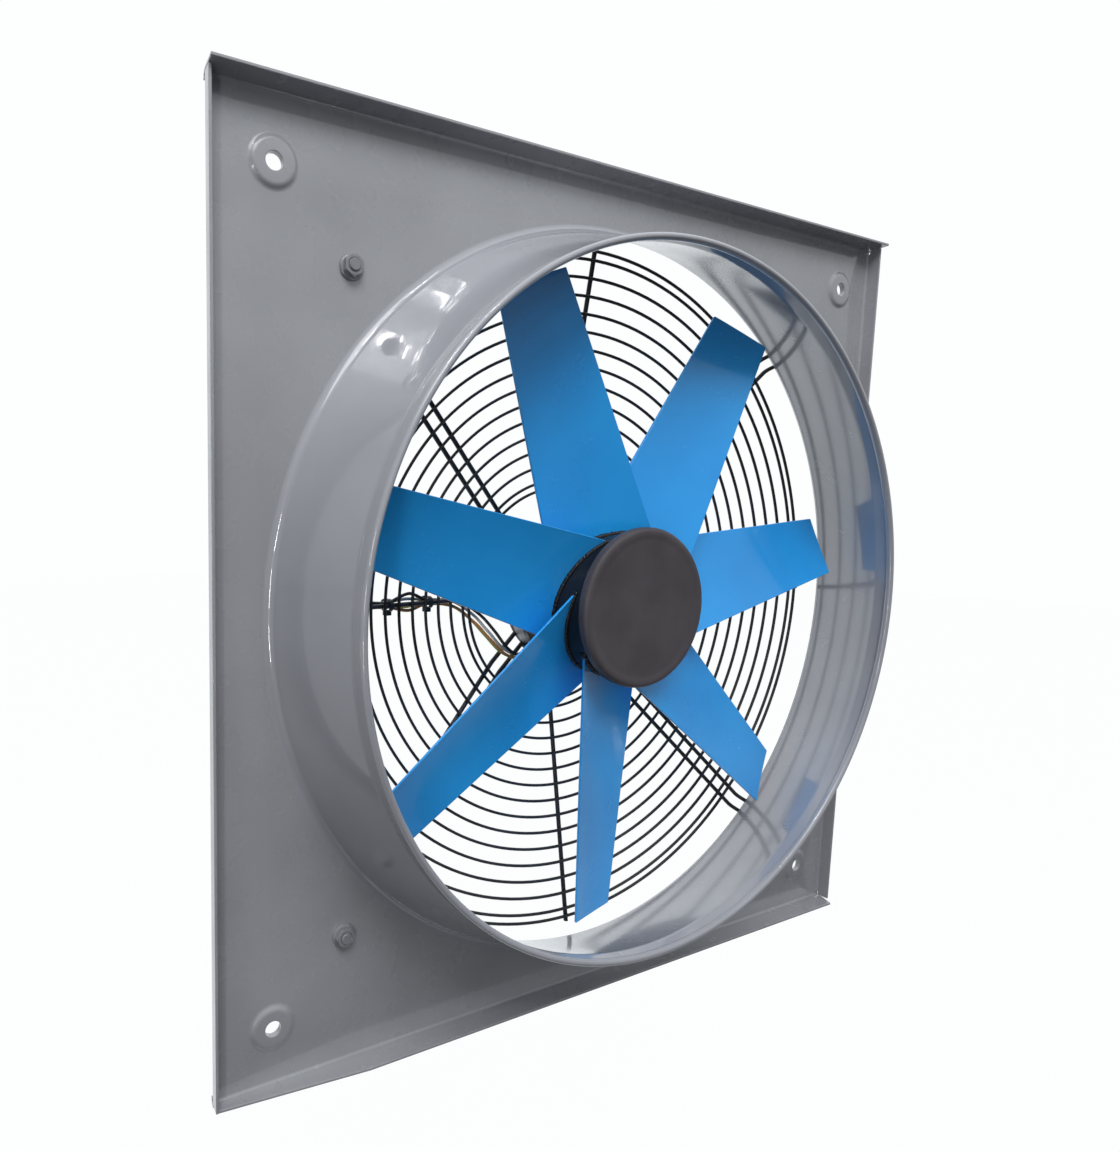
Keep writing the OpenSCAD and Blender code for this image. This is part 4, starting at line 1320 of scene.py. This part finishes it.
def hang_lamps():
    """An overhead lamp, short ceiling tubes and the bars of a window."""
    # The overhead lamp is in two parts, because gloss mirrors only the weaker one
    above, middle = (-0.6, -1.15, 1.7), (0, 0, 0.1)
    area_light("Overhead glow", above, middle, 1.2, 0.8, 6)
    area_light("Overhead lamp", above, middle, 1.2, 0.8, 25).visible_glossy = False
    # The plate and then the cowl's upper left mirror the tubes as small streaks
    tubes = (
        (-0.12, -1.05), (0.12, -1.12), (-0.1, -0.94), (-0.9, -1.0),
        (-1.18, -0.9), (-0.8, -0.92), (-0.86, -0.82), (-0.55, -0.86),
    )
    for number, (x, y) in enumerate(tubes, 1):
        tube = area_light(f"Ceiling tube {number}", (x, y, 2.3), (x, y, 0), 0.2, 0.02, 0.7)
        tube.rotation_euler = (0, 0, 0)
    for row in range(3):
        area_light(f"Window bar {row + 1}", (-1.5, -1.5, -0.5 + 0.45 * row), (-0.3, 0, 0), 0.06, 0.3, 1.6)


def place_card():
    """A dark card that the camera doesn't see. The cowl's inside mirrors it at the upper right."""
    card = bpy.data.meshes.new("Dark card")
    corners = [(0.617, 0.414, -0.247), (0.409, 0.378, -0.492), (0.573, 0.674, -0.082), (0.649, 0.645, 0.072)]
    card.from_pydata(corners, [], [(0, 1, 2, 3)])
    board = new_object("Dark card", card)
    ink = bpy.data.materials.new("Dark board")
    ink.use_nodes = True
    ink.node_tree.nodes["Principled BSDF"].inputs["Base Color"].default_value = linear("#30343C")
    card.materials.append(ink)
    board.visible_camera = False
    board.visible_diffuse = False
    board.visible_shadow = False


class FAN_OT_stage(Operator):
    """Set up the camera, the pale floor and the soft studio light"""

    bl_idname = "fan.stage"
    bl_label = "Stage"

    def execute(self, context):
        scene = context.scene
        scene.view_settings.view_transform = "Standard"
        aim_camera(scene, scene.fan_stage)
        light_room(scene)
        lay_floor(scene.fan_stage.floor_height)
        hang_lamps()
        place_card()
        return {"FINISHED"}


class FAN_PT_panel(Panel):
    """Lists the fan's pieces and settings"""

    bl_idname = "FAN_PT_panel"
    bl_label = "Axial Fan"
    bl_space_type = "VIEW_3D"
    bl_region_type = "UI"
    bl_category = "Axial Fan"

    def draw(self, context):
        column = self.layout.column()
        for operator in OPERATORS:
            column.operator(operator.bl_idname)
        for group in (context.scene.fan_detail, context.scene.fan_finish, context.scene.fan_stage):
            box = self.layout.box()
            for name in group.bl_rna.properties.keys():
                if name not in ("rna_type", "name"):
                    box.prop(group, name)


OPERATORS = (
    FAN_OT_stage,
    FAN_OT_materials,
    FAN_OT_plate,
    FAN_OT_cowl,
    FAN_OT_guard,
    FAN_OT_fasteners,
    FAN_OT_motor,
    FAN_OT_rotor,
    FAN_OT_blades,
    FAN_OT_leads,
    FAN_OT_terminal_box,
    FAN_OT_carried_finishes,
)
CLASSES = (FanDetailSettings, FanFinishSettings, FanStageSettings, *OPERATORS, FAN_PT_panel)


def register():
    for cls in CLASSES:
        bpy.utils.register_class(cls)
    bpy.types.Scene.fan_detail = PointerProperty(type=FanDetailSettings)
    bpy.types.Scene.fan_finish = PointerProperty(type=FanFinishSettings)
    bpy.types.Scene.fan_stage = PointerProperty(type=FanStageSettings)


def unregister():
    del bpy.types.Scene.fan_stage
    del bpy.types.Scene.fan_finish
    del bpy.types.Scene.fan_detail
    for cls in reversed(CLASSES):
        bpy.utils.unregister_class(cls)


def main():
    register()
    bpy.ops.fan.stage()
    bpy.ops.fan.materials()
    bpy.ops.fan.plate()
    bpy.ops.fan.cowl()
    bpy.ops.fan.guard()
    bpy.ops.fan.fasteners()
    bpy.ops.fan.motor()
    bpy.ops.fan.rotor()
    bpy.ops.fan.blades()
    bpy.ops.fan.leads()
    bpy.ops.fan.terminal_box()
    bpy.ops.fan.carried_finishes()
    bpy.context.view_layer.update()


if __name__ == "__main__":
    main()
